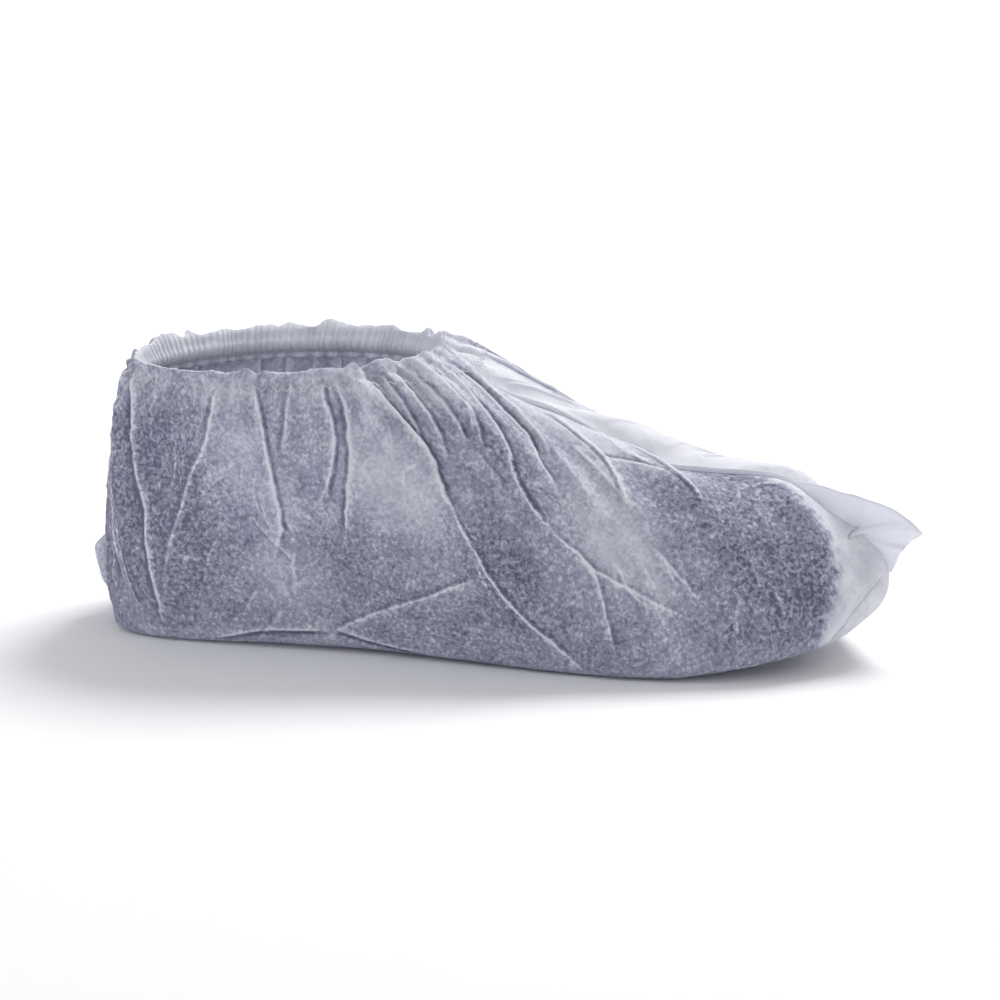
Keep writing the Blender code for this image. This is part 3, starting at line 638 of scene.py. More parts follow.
for rows, side, creases in ((outer_rows, OUTER, OUTER_CREASES), (inner_rows, INNER, INNER_CREASES)):
    block, grid = cloth[:, rows], from_top_down(cloth, side)
    every_crease = creases + faint_creases(rng)
    high, top, low, lines = crease_heights(block, normals[:, rows], grid, every_crease, side, rng)
    gathers, pleats, hem_depths[side] = gather_heights(grid, side, rng)
    top_first = slice(None, None, -side)  # both blocks seen with the hem as their first row
    gathered, pleated = (part[:, top_first][:, : DOWN_STEPS + 1] for part in (high, top))
    gathered += gathers
    np.maximum(pleated, pleats, out=pleated)
    fade = np.ones(high.shape[1])
    fade[-WRAP_STEPS - 1 :] = 1 - ease(np.arange(WRAP_STEPS + 1) / WRAP_STEPS)
    fade = fade[top_first]
    height[:, rows] += high * fade
    crest[:, rows], tuck[:, rows] = top * fade, low * fade
    lines[..., 1:] *= fade[:, None]
    crease_lines[:, :, rows] = lines
at_heel = 1 + 1.6 * ease((0.16 - a_all) / 0.10)  # the loose heel is the most crumpled
on_sides = np.where(under, 0.0, ease((1 - side_down) / 0.08))
height += at_heel * (DENT_RISE * dents + RIDGE_RISE * ridges) * on_sides
height *= at_seams
cloth = cloth + normals * height[..., None]
cloth[..., 2] += np.where(under, SOLE_RIDGE_RISE * ridges * at_seams, 0)
cloth[..., 2] = np.maximum(cloth[..., 2], 0)
crest, tuck = crest * at_seams, tuck * at_seams
print("heights, mm:", round(height.min() / MM, 1), "to", round(height.max() / MM, 1))

# %% [markdown]
# ## Painted shade where the cloth lay on the shoe
# Where thin cloth lay tight on the shoe it is painted darker and more mottled, as painted shade of the shoe
# seen through it, and where it stands off it is painted paler, as light shining through it. Each place keeps
# this as a named value in the mesh that the material reads.

# %% Spots of painted shade: centre and size in (around, down), and strength, below 0 where the cloth stands off and is painted paler
SHADE_SPOT_COLUMNS = ("around", "down", "long", "tall", "strength")
# The base tone of the sides: the cloth's own grey together with painted shade of the shoe seen through it.
SHADE_BASE = 0.52
OUTER_SHADE_SPOTS = [
    (0.86, 0.5, 0.08, 0.36, 0.32), (0.79, 0.7, 0.1, 0.24, 0.14), (0.44, 0.86, 0.085, 0.12, 0.08),
    (0.6, 0.88, 0.16, 0.12, 0.06), (0.555, 0.4, 0.026, 0.18, 0.25), (0.484, 0.64, 0.02, 0.16, 0.3),
    (0.39, 0.65, 0.035, 0.12, 0.2), (0.19, 0.42, 0.06, 0.34, 0.26), (0.366, 0.34, 0.018, 0.24, 0.16),
    (0.24, 0.8, 0.11, 0.22, 0.12), (0.445, 0.37, 0.032, 0.16, -0.4), (0.335, 0.74, 0.036, 0.1, -0.26),
    (0.575, 0.52, 0.034, 0.12, -0.26), (0.655, 0.4, 0.06, 0.22, -0.28), (0.64, 0.62, 0.06, 0.12, -0.22),
    (0.76, 0.12, 0.09, 0.14, -0.5), (0.24, 0.62, 0.06, 0.3, 0.16), (0.29, 0.3, 0.03, 0.16, -0.2),
    (0.5, 0.05, 0.2, 0.1, -0.3), (0.13, 0.08, 0.16, 0.08, -0.2), (0.345, 0.48, 0.022, 0.1, -0.2),
    (0.07, 0.55, 0.07, 0.45, 0.42), (0.2, 0.45, 0.07, 0.3, 0.2), (0.7, 0.9, 0.12, 0.16, 0.02),
    (0.868, 0.05, 0.035, 0.12, 0.34),
]
INNER_SHADE_SPOTS = [
    (0.85, 0.52, 0.09, 0.32, 0.36), (0.62, 0.8, 0.12, 0.18, 0.22), (0.3, 0.78, 0.14, 0.2, 0.2),
    (0.48, 0.6, 0.04, 0.25, 0.2), (0.18, 0.45, 0.06, 0.3, 0.2), (0.4, 0.35, 0.05, 0.2, -0.3),
    (0.64, 0.35, 0.07, 0.24, -0.35), (0.76, 0.16, 0.12, 0.2, -0.6), (0.88, 0.08, 0.12, 0.14, -0.5),
    (0.24, 0.25, 0.05, 0.18, -0.3), (0.54, 0.05, 0.2, 0.1, -0.3),
]

# In front of this line, (down, around), the toe stands clear and the cloth is painted pale, as painted light
# shining through it.
TOE_EDGE = [(0.0, 0.888), (0.175, 0.900), (0.400, 0.918), (0.595, 0.914), (0.850, 0.884), (1.0, 0.866)]
TOE_EDGE_BLUR, LIT_THROUGH, MOST_SHADE = 0.024, -0.20, 0.96
# Next to the line the pale side is painted greyer, painted shade that tones it down where that surface turns
# to the light.
EDGE_RAG, EDGE_GREY, EDGE_FADE = 0.012, 0.15, 0.060  # how ragged the line is, and how the milky side starts


# How dark each place is painted: the base tone, the spots of painted shade, and past the toe line painted
# light shining through.
def shade_and_light_values(rows, points):
    a, d = np.meshgrid(around, down, indexing="ij")
    value = np.full_like(a, SHADE_BASE)
    for row in rows:
        spot = dict(zip(SHADE_SPOT_COLUMNS, row))
        off = np.hypot((a - spot["around"]) / spot["long"], (d - spot["down"]) / spot["tall"])
        value += spot["strength"] * ease(1.25 - off * 0.75)
    knots, places = np.array(TOE_EDGE).T
    rag = np.array([noise.noise(p / 5) + 0.9 * noise.noise(p / 2.2) for p in points.reshape(-1, 3) / MM])
    past = a - smooth_curve(knots, places, down)[None, :] + rag.reshape(a.shape) * EDGE_RAG
    clear = ease(past / TOE_EDGE_BLUR + 0.5)
    lit_through = LIT_THROUGH + EDGE_GREY * (1 - ease(past / EDGE_FADE))
    return np.minimum(value, MOST_SHADE) * (1 - clear) + lit_through * clear


outer_shade_and_light = shade_and_light_values(OUTER_SHADE_SPOTS, from_top_down(cloth, OUTER))
inner_shade_and_light = shade_and_light_values(INNER_SHADE_SPOTS, from_top_down(cloth, INNER))
share_under = (np.arange(1, SOLE_STEPS) / SOLE_STEPS)[None, :]
under_shade_and_light = outer_shade_and_light[:, -1:] * (1 - share_under) + inner_shade_and_light[:, -1:] * share_under
pressed = np.concatenate([outer_shade_and_light, under_shade_and_light, inner_shade_and_light[:, ::-1]], axis=1)

# %% [markdown]
# ## From grid to cloth pieces
# Each piece is a block of the grid with a thin wall, made by Solidify towards the inside. It also gets a
# UV map in metres, so that the pressed dots of the cloth keep their size wherever the grid is stretched.

# %% Make the three cloth pieces
CLOTH_THICK = 0.42 * MM


def metric_uv(points):
    """Lengths along and down the grid, in metres."""
    u, v = running(size_of(np.diff(points, axis=0))), running(size_of(np.diff(points, axis=1)).T).T
    return u - u[len(u) // 2], v


def linked(name, mesh):
    """An object for a mesh, smoothly shaded and put into the scene."""
    mesh.shade_smooth()
    made = bpy.data.objects.new(name, mesh)
    bpy.context.scene.collection.objects.link(made)
    return made


def cloth_piece(name, points, faces, values, weld, sliver, uv=None, face_out=False):
    """A piece from points and faces. values are named numbers, or vectors, for each point. Points nearer
    than weld become one, and faces thinner than sliver go."""
    mesh = bpy.data.meshes.new(name)
    mesh.from_pydata(points.reshape(-1, 3).tolist(), [], faces)
    if uv:
        corners = np.zeros(len(mesh.loops), int)
        mesh.loops.foreach_get("vertex_index", corners)
        flat = np.stack([part.reshape(-1)[corners] for part in uv], axis=-1)
        mesh.uv_layers.new(name="cloth").uv.foreach_set("vector", flat.astype(np.float32).ravel())
    for key, value in values.items():
        kind, field = ("FLOAT", "value") if value.ndim == 2 else ("FLOAT_VECTOR", "vector")
        mesh.attributes.new(key, kind, "POINT").data.foreach_set(field, value.astype(np.float32).ravel())
    work = bmesh.new()
    work.from_mesh(mesh)
    bmesh.ops.remove_doubles(work, verts=work.verts, dist=weld)
    bmesh.ops.dissolve_degenerate(work, edges=work.edges, dist=sliver)
    if face_out:
        bmesh.ops.recalc_face_normals(work, faces=work.faces)
    work.to_mesh(mesh)
    work.free()
    return linked(name, mesh)


def grid_piece(name, points, values, thick, rim=True):
    """A cloth piece with a wall, from a grid of points."""
    index = np.arange(points.shape[0] * points.shape[1]).reshape(points.shape[:2])
    quads = np.stack([index[:-1, :-1], index[:-1, 1:], index[1:, 1:], index[1:, :-1]], axis=-1)
    faces = quads.reshape(-1, 4).tolist()
    piece = cloth_piece(name, points, faces, values, 0.02 * MM, 0.01 * MM, uv=metric_uv(points))
    wall = piece.modifiers.new("cloth_wall", "SOLIDIFY")
    wall.thickness, wall.offset = thick, -1
    wall.use_even_offset, wall.use_rim = False, rim
    return piece


def cut(rows):
    values = {"crest": crest[:, rows], "tuck": tuck[:, rows], "pressed": pressed[:, rows]}
    values |= {f"line_{k}": crease_lines[k][:, rows] for k in range(LINE_GROUPS)}
    return cloth[:, rows], values


sole_rows_used = slice(ROW_OUTER_EDGE + WRAP_STEPS, ROW_INNER_EDGE - WRAP_STEPS + 1)
outer_cloth = grid_piece("outer_cloth", *cut(outer_rows), CLOTH_THICK)
sole_cloth = grid_piece("sole_cloth", *cut(sole_rows_used), CLOTH_THICK, rim=False)
inner_cloth = grid_piece("inner_cloth", *cut(inner_rows), CLOTH_THICK)
for piece in (outer_cloth, sole_cloth, inner_cloth):
    print(piece.name, len(piece.data.polygons), "faces before the wall")

# %% [markdown]
# ## The front seam and the pinched toe
# Over the instep the two sides are laid together and joined, so a narrow fin of doubled cloth stands up.
# At the toe the cloth is left wide and pinched, and the fin becomes a beak. Its root spreads into both
# sides, like the fillet of a weld, so it reads as the same cloth and not as a blade set on top.

# %% The fin's outline, shares of the beak's reach
BEAK_COLUMNS = ("along", "ahead", "above")
BEAK = [
    (0.667, 0.000, 0.088), (0.905, 0.000, 0.088), (0.935, 0.010, 0.160), (0.960, 0.050, 0.330),
    (0.980, 0.120, 0.380), (1.000, 0.520, 0.250), (1.090, 0.840, 0.000), (1.200, 0.540, -0.020),
    (1.360, 0.210, 0.000), (1.500, 0.050, 0.000),
]
BEAK_REACH, BEAK_DOWN = 0.025, 0.5
FIN_STEPS_ALONG, FIN_STEPS_DOWN, FIN_STEPS_UP, FLOOR_STEPS = 240, 90, 11, 7
PLY = 0.34 * MM
BLADE, WEDGE_RUN, BEAK_FLARE = 4 * MM, 6 * MM, 0.95  # above BLADE the fin spreads and becomes the beak
TOE_START, METRES_AROUND = 0.93, 0.36  # where the toe starts, and the seam's metres per unit around


def fin_loop(roots, line, edge, plies, wedge=0.0):
    """The rings of a closed fin. roots are its feet, the ways they leave the cloth and the rows on the
    cloth between foot and seam. line is the seam and edge its free edge. Where wedge is 1 the fin runs on
    from the cloth without a bend."""
    rings = []
    rise = np.linspace(0, 1, FIN_STEPS_UP + 1)
    wedge = np.zeros(len(line)) + wedge
    for (foot, leaving, _), sign in zip(roots, (OUTER, INNER)):
        bend = line + (edge - line) * 0.22
        bend[:, 1] += sign * plies * 0.8
        bend += (foot + leaving + (edge - line) * 0.16 - bend) * wedge[:, None]
        tip = edge.copy()
        tip[:, 1] += sign * plies * 0.5
        t = rise[None, :, None]
        rings.append(foot[:, None] * (1 - t) ** 2 + 2 * bend[:, None] * t * (1 - t) + tip[:, None] * t * t)
    outer_floor, inner_floor = roots[0][2], roots[1][2]
    floor_rows = [inner_floor, line[:, None], outer_floor[:, ::-1]]
    return np.concatenate([rings[0], rings[1][:, ::-1], *floor_rows], axis=1)


def fin_root(grid, foot_a, foot_d, line_a, line_d, leave):
    """A foot on the cloth, the way it leaves the cloth, and the rows of cloth from it to the seam."""
    shares = np.arange(FLOOR_STEPS + 1) / (FLOOR_STEPS + 1)
    rows = [on_grid(grid, foot_a + (line_a - foot_a) * t, foot_d + (line_d - foot_d) * t) for t in shares]
    rows = np.stack(rows, axis=1)
    return rows[:, 0], unit(rows[:, 1] - rows[:, 0]) * leave[:, None], rows[:, 1:]


def close_loop(name, loop, values):
    """A tube through the loops of points, shut at both ends."""
    index = np.arange(loop.shape[0] * loop.shape[1]).reshape(loop.shape[:2])
    after = np.roll(index, -1, axis=1)
    faces = np.stack([index[:-1], after[:-1], after[1:], index[1:]], axis=-1).reshape(-1, 4).tolist()
    faces += [index[0, ::-1].tolist(), index[-1].tolist()]
    return cloth_piece(name, loop, faces, values, 0.01 * MM, 0.005 * MM, face_out=True)


def flare_of(stands):
    """How far from the seam a fin's foot lies, for how far the fin stands out."""
    return np.clip(0.20 * stands, 0.5 * MM, 1.4 * MM)


def fin_piece(name, loop, pale, shade_and_light_share):
    """A closed fin, painted paler towards its free edge as a painted highlight."""
    up = np.linspace(0, 1, FIN_STEPS_UP + 1)
    share_up = np.concatenate([up, up[::-1], np.zeros(2 * FLOOR_STEPS + 1)])
    plain = np.ones(loop.shape[:2])
    values = {"crest": plain * np.clip(share_up * 1.1 - 0.25, 0, 1) * pale, "tuck": plain * 0}
    piece = close_loop(name, loop, values | {"pressed": plain * shade_and_light_share})
    print(name + ":", len(piece.data.polygons), "faces")
    return piece


def wander(count, spans, rng):
    """A smooth random line in -1..1 with about that many bends."""
    knots = np.linspace(0, 1, spans + 1)
    return smooth_curve(knots, rng.uniform(-1, 1, spans + 1), np.linspace(0, 1, count))


# %% Build the front fin
outer_grid, inner_grid = (from_top_down(cloth, side) for side in (OUTER, INNER))
fin_around = np.linspace(OPENING_END, 1, FIN_STEPS_ALONG + 1)
fin_down = np.linspace(0, BEAK_DOWN, FIN_STEPS_DOWN + 1)[1:]
fin_along = np.concatenate([fin_around, 1 + fin_down])
fin_a = np.concatenate([fin_around, np.ones(len(fin_down))])
fin_d = np.concatenate([np.zeros(len(fin_around)), fin_down])
fin_line = on_grid(outer_grid, fin_a, fin_d)
ahead, above = (
    BEAK_REACH * table_curve(BEAK, BEAK_COLUMNS, name, fin_along) for name in ("ahead", "above")
)
stand = np.stack([ahead, np.zeros(len(fin_along)), above], axis=-1)
edge_way, stand_length = unit(stand), size_of(stand)
flare = flare_of(stand_length) + BEAK_FLARE * np.maximum(stand_length - BLADE, 0)
fin_rng = np.random.default_rng(8)
fin_edge = fin_line + stand
fin_edge[:, 1] += wander(len(fin_line), 44, fin_rng) * np.clip(stand_length * 0.14, 0.25 * MM, 1.6 * MM)
fin_edge += edge_way * (wander(len(fin_line), 80, fin_rng) * 0.18 * MM)[:, None]
ridge_pitch = size_of(on_grid(outer_grid, fin_a, fin_d + 0.01) - fin_line) / 0.01
foot_a = np.minimum(fin_a, 1 - flare / METRES_AROUND * ease((fin_a - TOE_START) / (1 - TOE_START)))
foot_d = np.maximum(fin_d, flare / ridge_pitch)
roots = [fin_root(g, foot_a, foot_d, fin_a, fin_d, 0.50 * flare) for g in (outer_grid, inner_grid)]
loop = fin_loop(roots, fin_line, fin_edge, PLY * 2, ease((stand_length - BLADE) / WEDGE_RUN))
# The beak is painted pale, as light shining through it.
front_seam_cloth = fin_piece("front_seam_cloth", loop, 0.5, LIT_THROUGH - 0.06)
print("it stands out", round(stand_length.max() / MM, 1), "mm at most")

# %% [markdown]
# ## The heel seam
# The same fin runs down the back. Low on the heel its raw edge stands out, and it is worn and uneven.

# %% Build the heel fin
HEEL_DOWN, HEEL_FIN_STAND, SEAM_STAND = 0.93, 0.0078, 0.0022
FIN_START, FIN_RUN, HEEL_STEPS = 0.70, 0.07, 169
heel_down = np.linspace(0, HEEL_DOWN, HEEL_STEPS + 1)
heel_line = on_grid(outer_grid, np.zeros(len(heel_down)), heel_down)
heel_along = np.gradient(heel_line, axis=0)
heel_out = np.stack([heel_along[:, 2], np.zeros(len(heel_line)), -heel_along[:, 0]], axis=-1)
heel_out = unit(heel_out) * -np.sign(heel_out[:, :1])
fin = ease((heel_down - FIN_START) / FIN_RUN) * ease((1.02 - heel_down) / 0.2)
heel_stand = SEAM_STAND + (HEEL_FIN_STAND - SEAM_STAND) * fin
heel_edge = heel_line + heel_out * heel_stand[:, None]
heel_edge[:, 1] += wander(len(heel_line), 22, fin_rng) * (0.3 * MM + 0.9 * MM * fin)
heel_edge[:, 0] += wander(len(heel_line), 40, fin_rng) * 0.45 * MM
heel_back, at_seam = flare_of(heel_stand) / METRES_AROUND, np.zeros(len(heel_down))
roots = [fin_root(g, heel_back, heel_down, at_seam, heel_down, at_seam) for g in (outer_grid, inner_grid)]
loop = fin_loop(roots, heel_line, heel_edge, PLY * 2)
heel_seam_cloth = fin_piece("heel_seam_cloth", loop, 1.0, 0.45)

# %% [markdown]
# ## The turned hem with its elastic
# The edge is turned in over a flat elastic and sewn. From above one sees the frill, and inside it a
# puckered tunnel of cloth. The tunnel starts from the very edge points of the sides, so the turn is one
# unbroken cloth. The pleats are finer inside, because the cloth is held at its tightest there.

# %% Build the turned hem
HEM_STEPS, HEM_ROWS = 1120, 22
PUCKER, FLAP, PLEAT_LIFT = 0.85 * MM, 0.8 * MM, 0.3 * MM
hem_columns = int(round(OPENING_END * AROUND_STEPS))
edge_a = np.linspace(0, OPENING_END, HEM_STEPS // 2 + 1)
hem_edge = np.concatenate(
    [on_grid(outer_grid, edge_a, edge_a * 0)[:-1], on_grid(inner_grid, edge_a[::-1], edge_a * 0)[:-1]]
)
smooth_edge = np.concatenate([hem_line(edge_a, OUTER)[:-1], hem_line(edge_a[::-1], INNER)[:-1]])
smooth_edge[:, 1] += toe_swing(smooth_edge[:, 0])
round_oval = np.array([1.0, (OPENING_LENGTH / OPENING_WIDTH) ** 2, 0.0])
inward = unit((smooth_edge.mean(0) - smooth_edge) * round_oval)
# How far in and how far down the tunnel's profile goes, in mm.
TUNNEL = np.array([
    (0.0, 0.0), (0.5, -0.25), (1.3, 0.5), (2.0, 2.2), (2.7, 3.6), (3.9, 5.2), (4.2, 6.8), (3.8, 8.4),
    (2.6, 9.8), (2.0, 10.6), (2.1, 12.4),
])
row_shares = np.linspace(0, 1, HEM_ROWS + 1)
far_in, far_down = (smooth_curve(np.linspace(0, 1, len(TUNNEL)), part, row_shares) * MM for part in TUNNEL.T)
pleat_rng = np.random.default_rng(5)
PLEATS, PLEAT_SIZES = 132, 61
hem_at = np.arange(HEM_STEPS) / HEM_STEPS
pleat = np.cumsum(pleat_rng.uniform(0.6, 1.4, PLEATS + 1))
pleat_phase = np.interp(hem_at, (pleat - pleat[0]) / (pleat[-1] - pleat[0]), np.arange(PLEATS + 1))
sizes = pleat_rng.uniform(0.5, 1.0, PLEAT_SIZES)
pleat_size = smooth_curve(np.linspace(0, 1, PLEAT_SIZES), sizes, hem_at)
pleat_wave = (0.5 - np.abs(((pleat_phase % 1) - 0.5) * 2) ** 1.3) * pleat_size
hem_rows = []
for share, far, deep in zip(row_shares, far_in, far_down):
    blend_in, start = ease(share / 0.3), ease(share / 0.12)
    pucker = (0.25 + 0.75 * math.sin(math.pi * share)) * start * PUCKER
    loose = ease((share - 0.85) / 0.15) * FLAP * np.sin(pleat_phase * 2.4)
    row = hem_edge * (1 - blend_in) + smooth_edge * blend_in
    row = row + inward * (far + pleat_wave * pucker + loose)[:, None]
    row[:, 2] -= deep - pleat_wave * PLEAT_LIFT * start
    hem_rows.append(row)
hem_points = np.stack(hem_rows, axis=1)
hem_points = np.concatenate([hem_points, hem_points[:1]], axis=0)[::-1]
hem_crest = np.concatenate([pleat_wave, pleat_wave[:1]])[::-1, None] * np.ones((1, HEM_ROWS + 1))
# Pleat crests are painted lighter, a painted highlight, and the folds between them darker, painted shade.
hem_values = {"crest": np.clip(hem_crest, 0, 1) * 0.8, "tuck": np.clip(-hem_crest * 1.5, 0, 1)}
hem_values["pressed"] = np.zeros_like(hem_crest)
elastic_hem = grid_piece("elastic_hem", hem_points, hem_values, 0.3 * MM)
print("hem:", round(size_of(np.diff(smooth_edge, axis=0)).sum() / MM), "mm round,", PLEATS, "pleats")

# %% [markdown]
# ## A small language for node trees
# Node trees for shapes and for materials hold the same kinds of sums, so they are written as plain Python
# expressions. The class below wraps a socket, and each operator on it adds a Math node.

# %% Sockets that can be added and multiplied


def feed(tree, socket, value):
    """Link a socket to a Value or to another node's socket, or set it to a constant."""
    value = value.socket if isinstance(value, Value) else value
    if isinstance(value, bpy.types.NodeSocket):
        tree.links.new(value, socket)
    else:
        socket.default_value = value


def add_node(tree, kind, settings=(), **sockets):
    """A new node. settings are its own fields, and sockets its inputs by name, or by number as i0 or i1."""
    node = tree.nodes.new(kind)
    for key, value in dict(settings).items():
        setattr(node, key, value)
    for key, value in sockets.items():
        numbered = key[0] == "i" and key[1:].isdigit()
        feed(tree, node.inputs[int(key[1:]) if numbered else key.replace("_", " ")], value)
    return node


class Value:
    """A number socket, for use in expressions."""

    def __init__(self, tree, socket):
        self.tree, self.socket = tree, socket

    def math(self, operation, *others, clamp=False):
        node = add_node(self.tree, "ShaderNodeMath", {"operation": operation, "use_clamp": clamp})
        for slot, value in zip(node.inputs, (self, *others)):
            feed(self.tree, slot, value)
        return Value(self.tree, node.outputs[0])

    def __add__(self, other):
        return self.math("ADD", other)

    def __sub__(self, other):
        return self.math("SUBTRACT", other)

    def __mul__(self, other):
        return self.math("MULTIPLY", other)

    def __rsub__(self, other):
        return (self * -1.0) + other

    __radd__, __rmul__ = __add__, __mul__

    def exp(self):
        return self.math("EXPONENT")

    def size(self):
        return self.math("ABSOLUTE")

    def clamped(self):
        return self.math("ADD", 0.0, clamp=True)


# %% [markdown]
# ## Stitches
# A row of stitches repeats one small thread along a path, which is just what Geometry Nodes are for. The
# tree walks along the path, sets a bowed bit of thread on it every few millimetres, turns every second
# one the other way for a zigzag, and makes it all real, because an exported model drops instances.

# %% The stitch tree


def stitch_tree():
    tree = bpy.data.node_groups.new("stitch_row", "GeometryNodeTree")
    for name, kind in (
        ("Geometry", "Geometry"), ("Spacing", "Float"), ("Length", "Float"), ("Thread Radius", "Float"),
        ("Slant", "Float"), ("Rise", "Float"), ("Seed", "Int"), ("Thread", "Material"),
    ):
        tree.interface.new_socket(name, in_out="INPUT", socket_type="NodeSocket" + kind)
    tree.interface.new_socket("Geometry", in_out="OUTPUT", socket_type="NodeSocketGeometry")

    def add(kind, settings=(), out=0, **sockets):
        return add_node(tree, kind, settings, **sockets).outputs[out]

    given = tree.nodes.new("NodeGroupInput").outputs
    path = add("GeometryNodeMeshToCurve", Mesh=given["Geometry"])
    points = add("GeometryNodeResampleCurve", {"mode": "LENGTH"}, Curve=path, Length=given["Spacing"])
    vector = {"data_type": "FLOAT_VECTOR"}
    out_of_cloth = add("GeometryNodeInputNamedAttribute", vector, "Attribute", Name="out")
    upright = add("FunctionNodeAlignRotationToVector", {"axis": "Z"}, Vector=out_of_cloth)
    along = add(
        "FunctionNodeAlignRotationToVector", {"axis": "X", "pivot_axis": "Z"},
        Rotation=upright, Vector=add("GeometryNodeInputTangent"),
    )
    number = add("GeometryNodeInputIndex")
    jitter = add_node(
        tree, "FunctionNodeRandomValue", {"data_type": "FLOAT"},
        Min=-0.12, Max=0.12, ID=number, Seed=given["Seed"],
    )
    every_second = Value(tree, number).math("MODULO", 2.0) * 2.0 - 1.0
    turn = every_second * given["Slant"] + next(s for s in jitter.outputs if s.enabled)
    turned = add(
        "FunctionNodeRotateRotation", {"rotation_space": "LOCAL"},
        Rotation=along, Rotate_By=add("ShaderNodeCombineXYZ", Z=turn),
    )
    length, rise = Value(tree, given["Length"]), Value(tree, given["Rise"])
    low = rise * -0.8
    bow = add(
        "GeometryNodeCurveQuadraticBezier", Resolution=5,
        Start=add("ShaderNodeCombineXYZ", X=length * -0.5, Z=low),
        Middle=add("ShaderNodeCombineXYZ", Z=rise * 2.2),
        End=add("ShaderNodeCombineXYZ", X=length * 0.5, Z=low),
    )
    ring = add("GeometryNodeCurvePrimitiveCircle", Resolution=5, Radius=given["Thread Radius"])
    thread = add("GeometryNodeCurveToMesh", Curve=bow, Profile_Curve=ring, Fill_Caps=True)
    placed = add("GeometryNodeInstanceOnPoints", Points=points, Instance=thread, Rotation=turned)
    real = add("GeometryNodeRealizeInstances", Geometry=placed)
    final = add("GeometryNodeSetMaterial", Geometry=real, Material=given["Thread"])
    tree.links.new(final, tree.nodes.new("NodeGroupOutput").inputs["Geometry"])
    return tree


# %% [markdown]
# ## One finish
# A finish is one material. This class adds its nodes and feeds the sockets of its shader.

# %% The finish


class Finish:
    """One material and the nodes that feed its shader."""

    def __init__(self, name, viewport):
        self.material = bpy.data.materials.new(name)
        self.material.use_nodes = True
        self.material.diffuse_color = (*viewport, 1)
        self.tree = self.material.node_tree
        self.shader = self.tree.nodes["Principled BSDF"]

    def node(self, kind, settings=(), **sockets):
        return add_node(self.tree, kind, settings, **sockets)

    def look(self, **sockets):
        """Feed sockets of the shader."""
        for name, value in sockets.items():
            feed(self.tree, self.shader.inputs[name.replace("_", " ")], value)

    def value(self, socket):
        return Value(self.tree, socket)

    def noise(self, place, scale, detail=2.0, roughness=0.5, distortion=0.0):
        made = self.node(
            "ShaderNodeTexNoise", Vector=place, Scale=scale, Detail=detail, Roughness=roughness,
            Distortion=distortion,
        )
        return self.value(made.outputs["Fac"])

    def attribute(self, name):
        return self.value(self.node("ShaderNodeAttribute", {"attribute_name": name}).outputs["Fac"])

    def mix(self, share, first, second):
        made = self.node("ShaderNodeMix", {"data_type": "RGBA"}, i0=share, i6=first, i7=second)
        return made.outputs[2]


# %% [markdown]
# ## The nonwoven cloth
# Spunbond cloth is a mat of fine fibres, pressed together at a grid of tiny dots. Close up one sees worm-like
# specks of light and dark, and from further off soft clouds, where the mat is thicker or thinner. Light and
# shade are painted on as well: a painted highlight on each crease's crest, painted shade in its tuck, painted
# shade where the cloth lay on the shoe, and painted light at the toe, where light shines through the cloth.

# %% Make the cloth finishes
# The cloth's tones from pale to dark. Besides the cloth's own clouds and specks, the dark end carries painted
# shade and the pale end painted highlights and painted light.
PALE, MIDDLE, SHADE = (0.93, 0.935, 0.985), (0.42, 0.427, 0.54), (0.13, 0.132, 0.20)


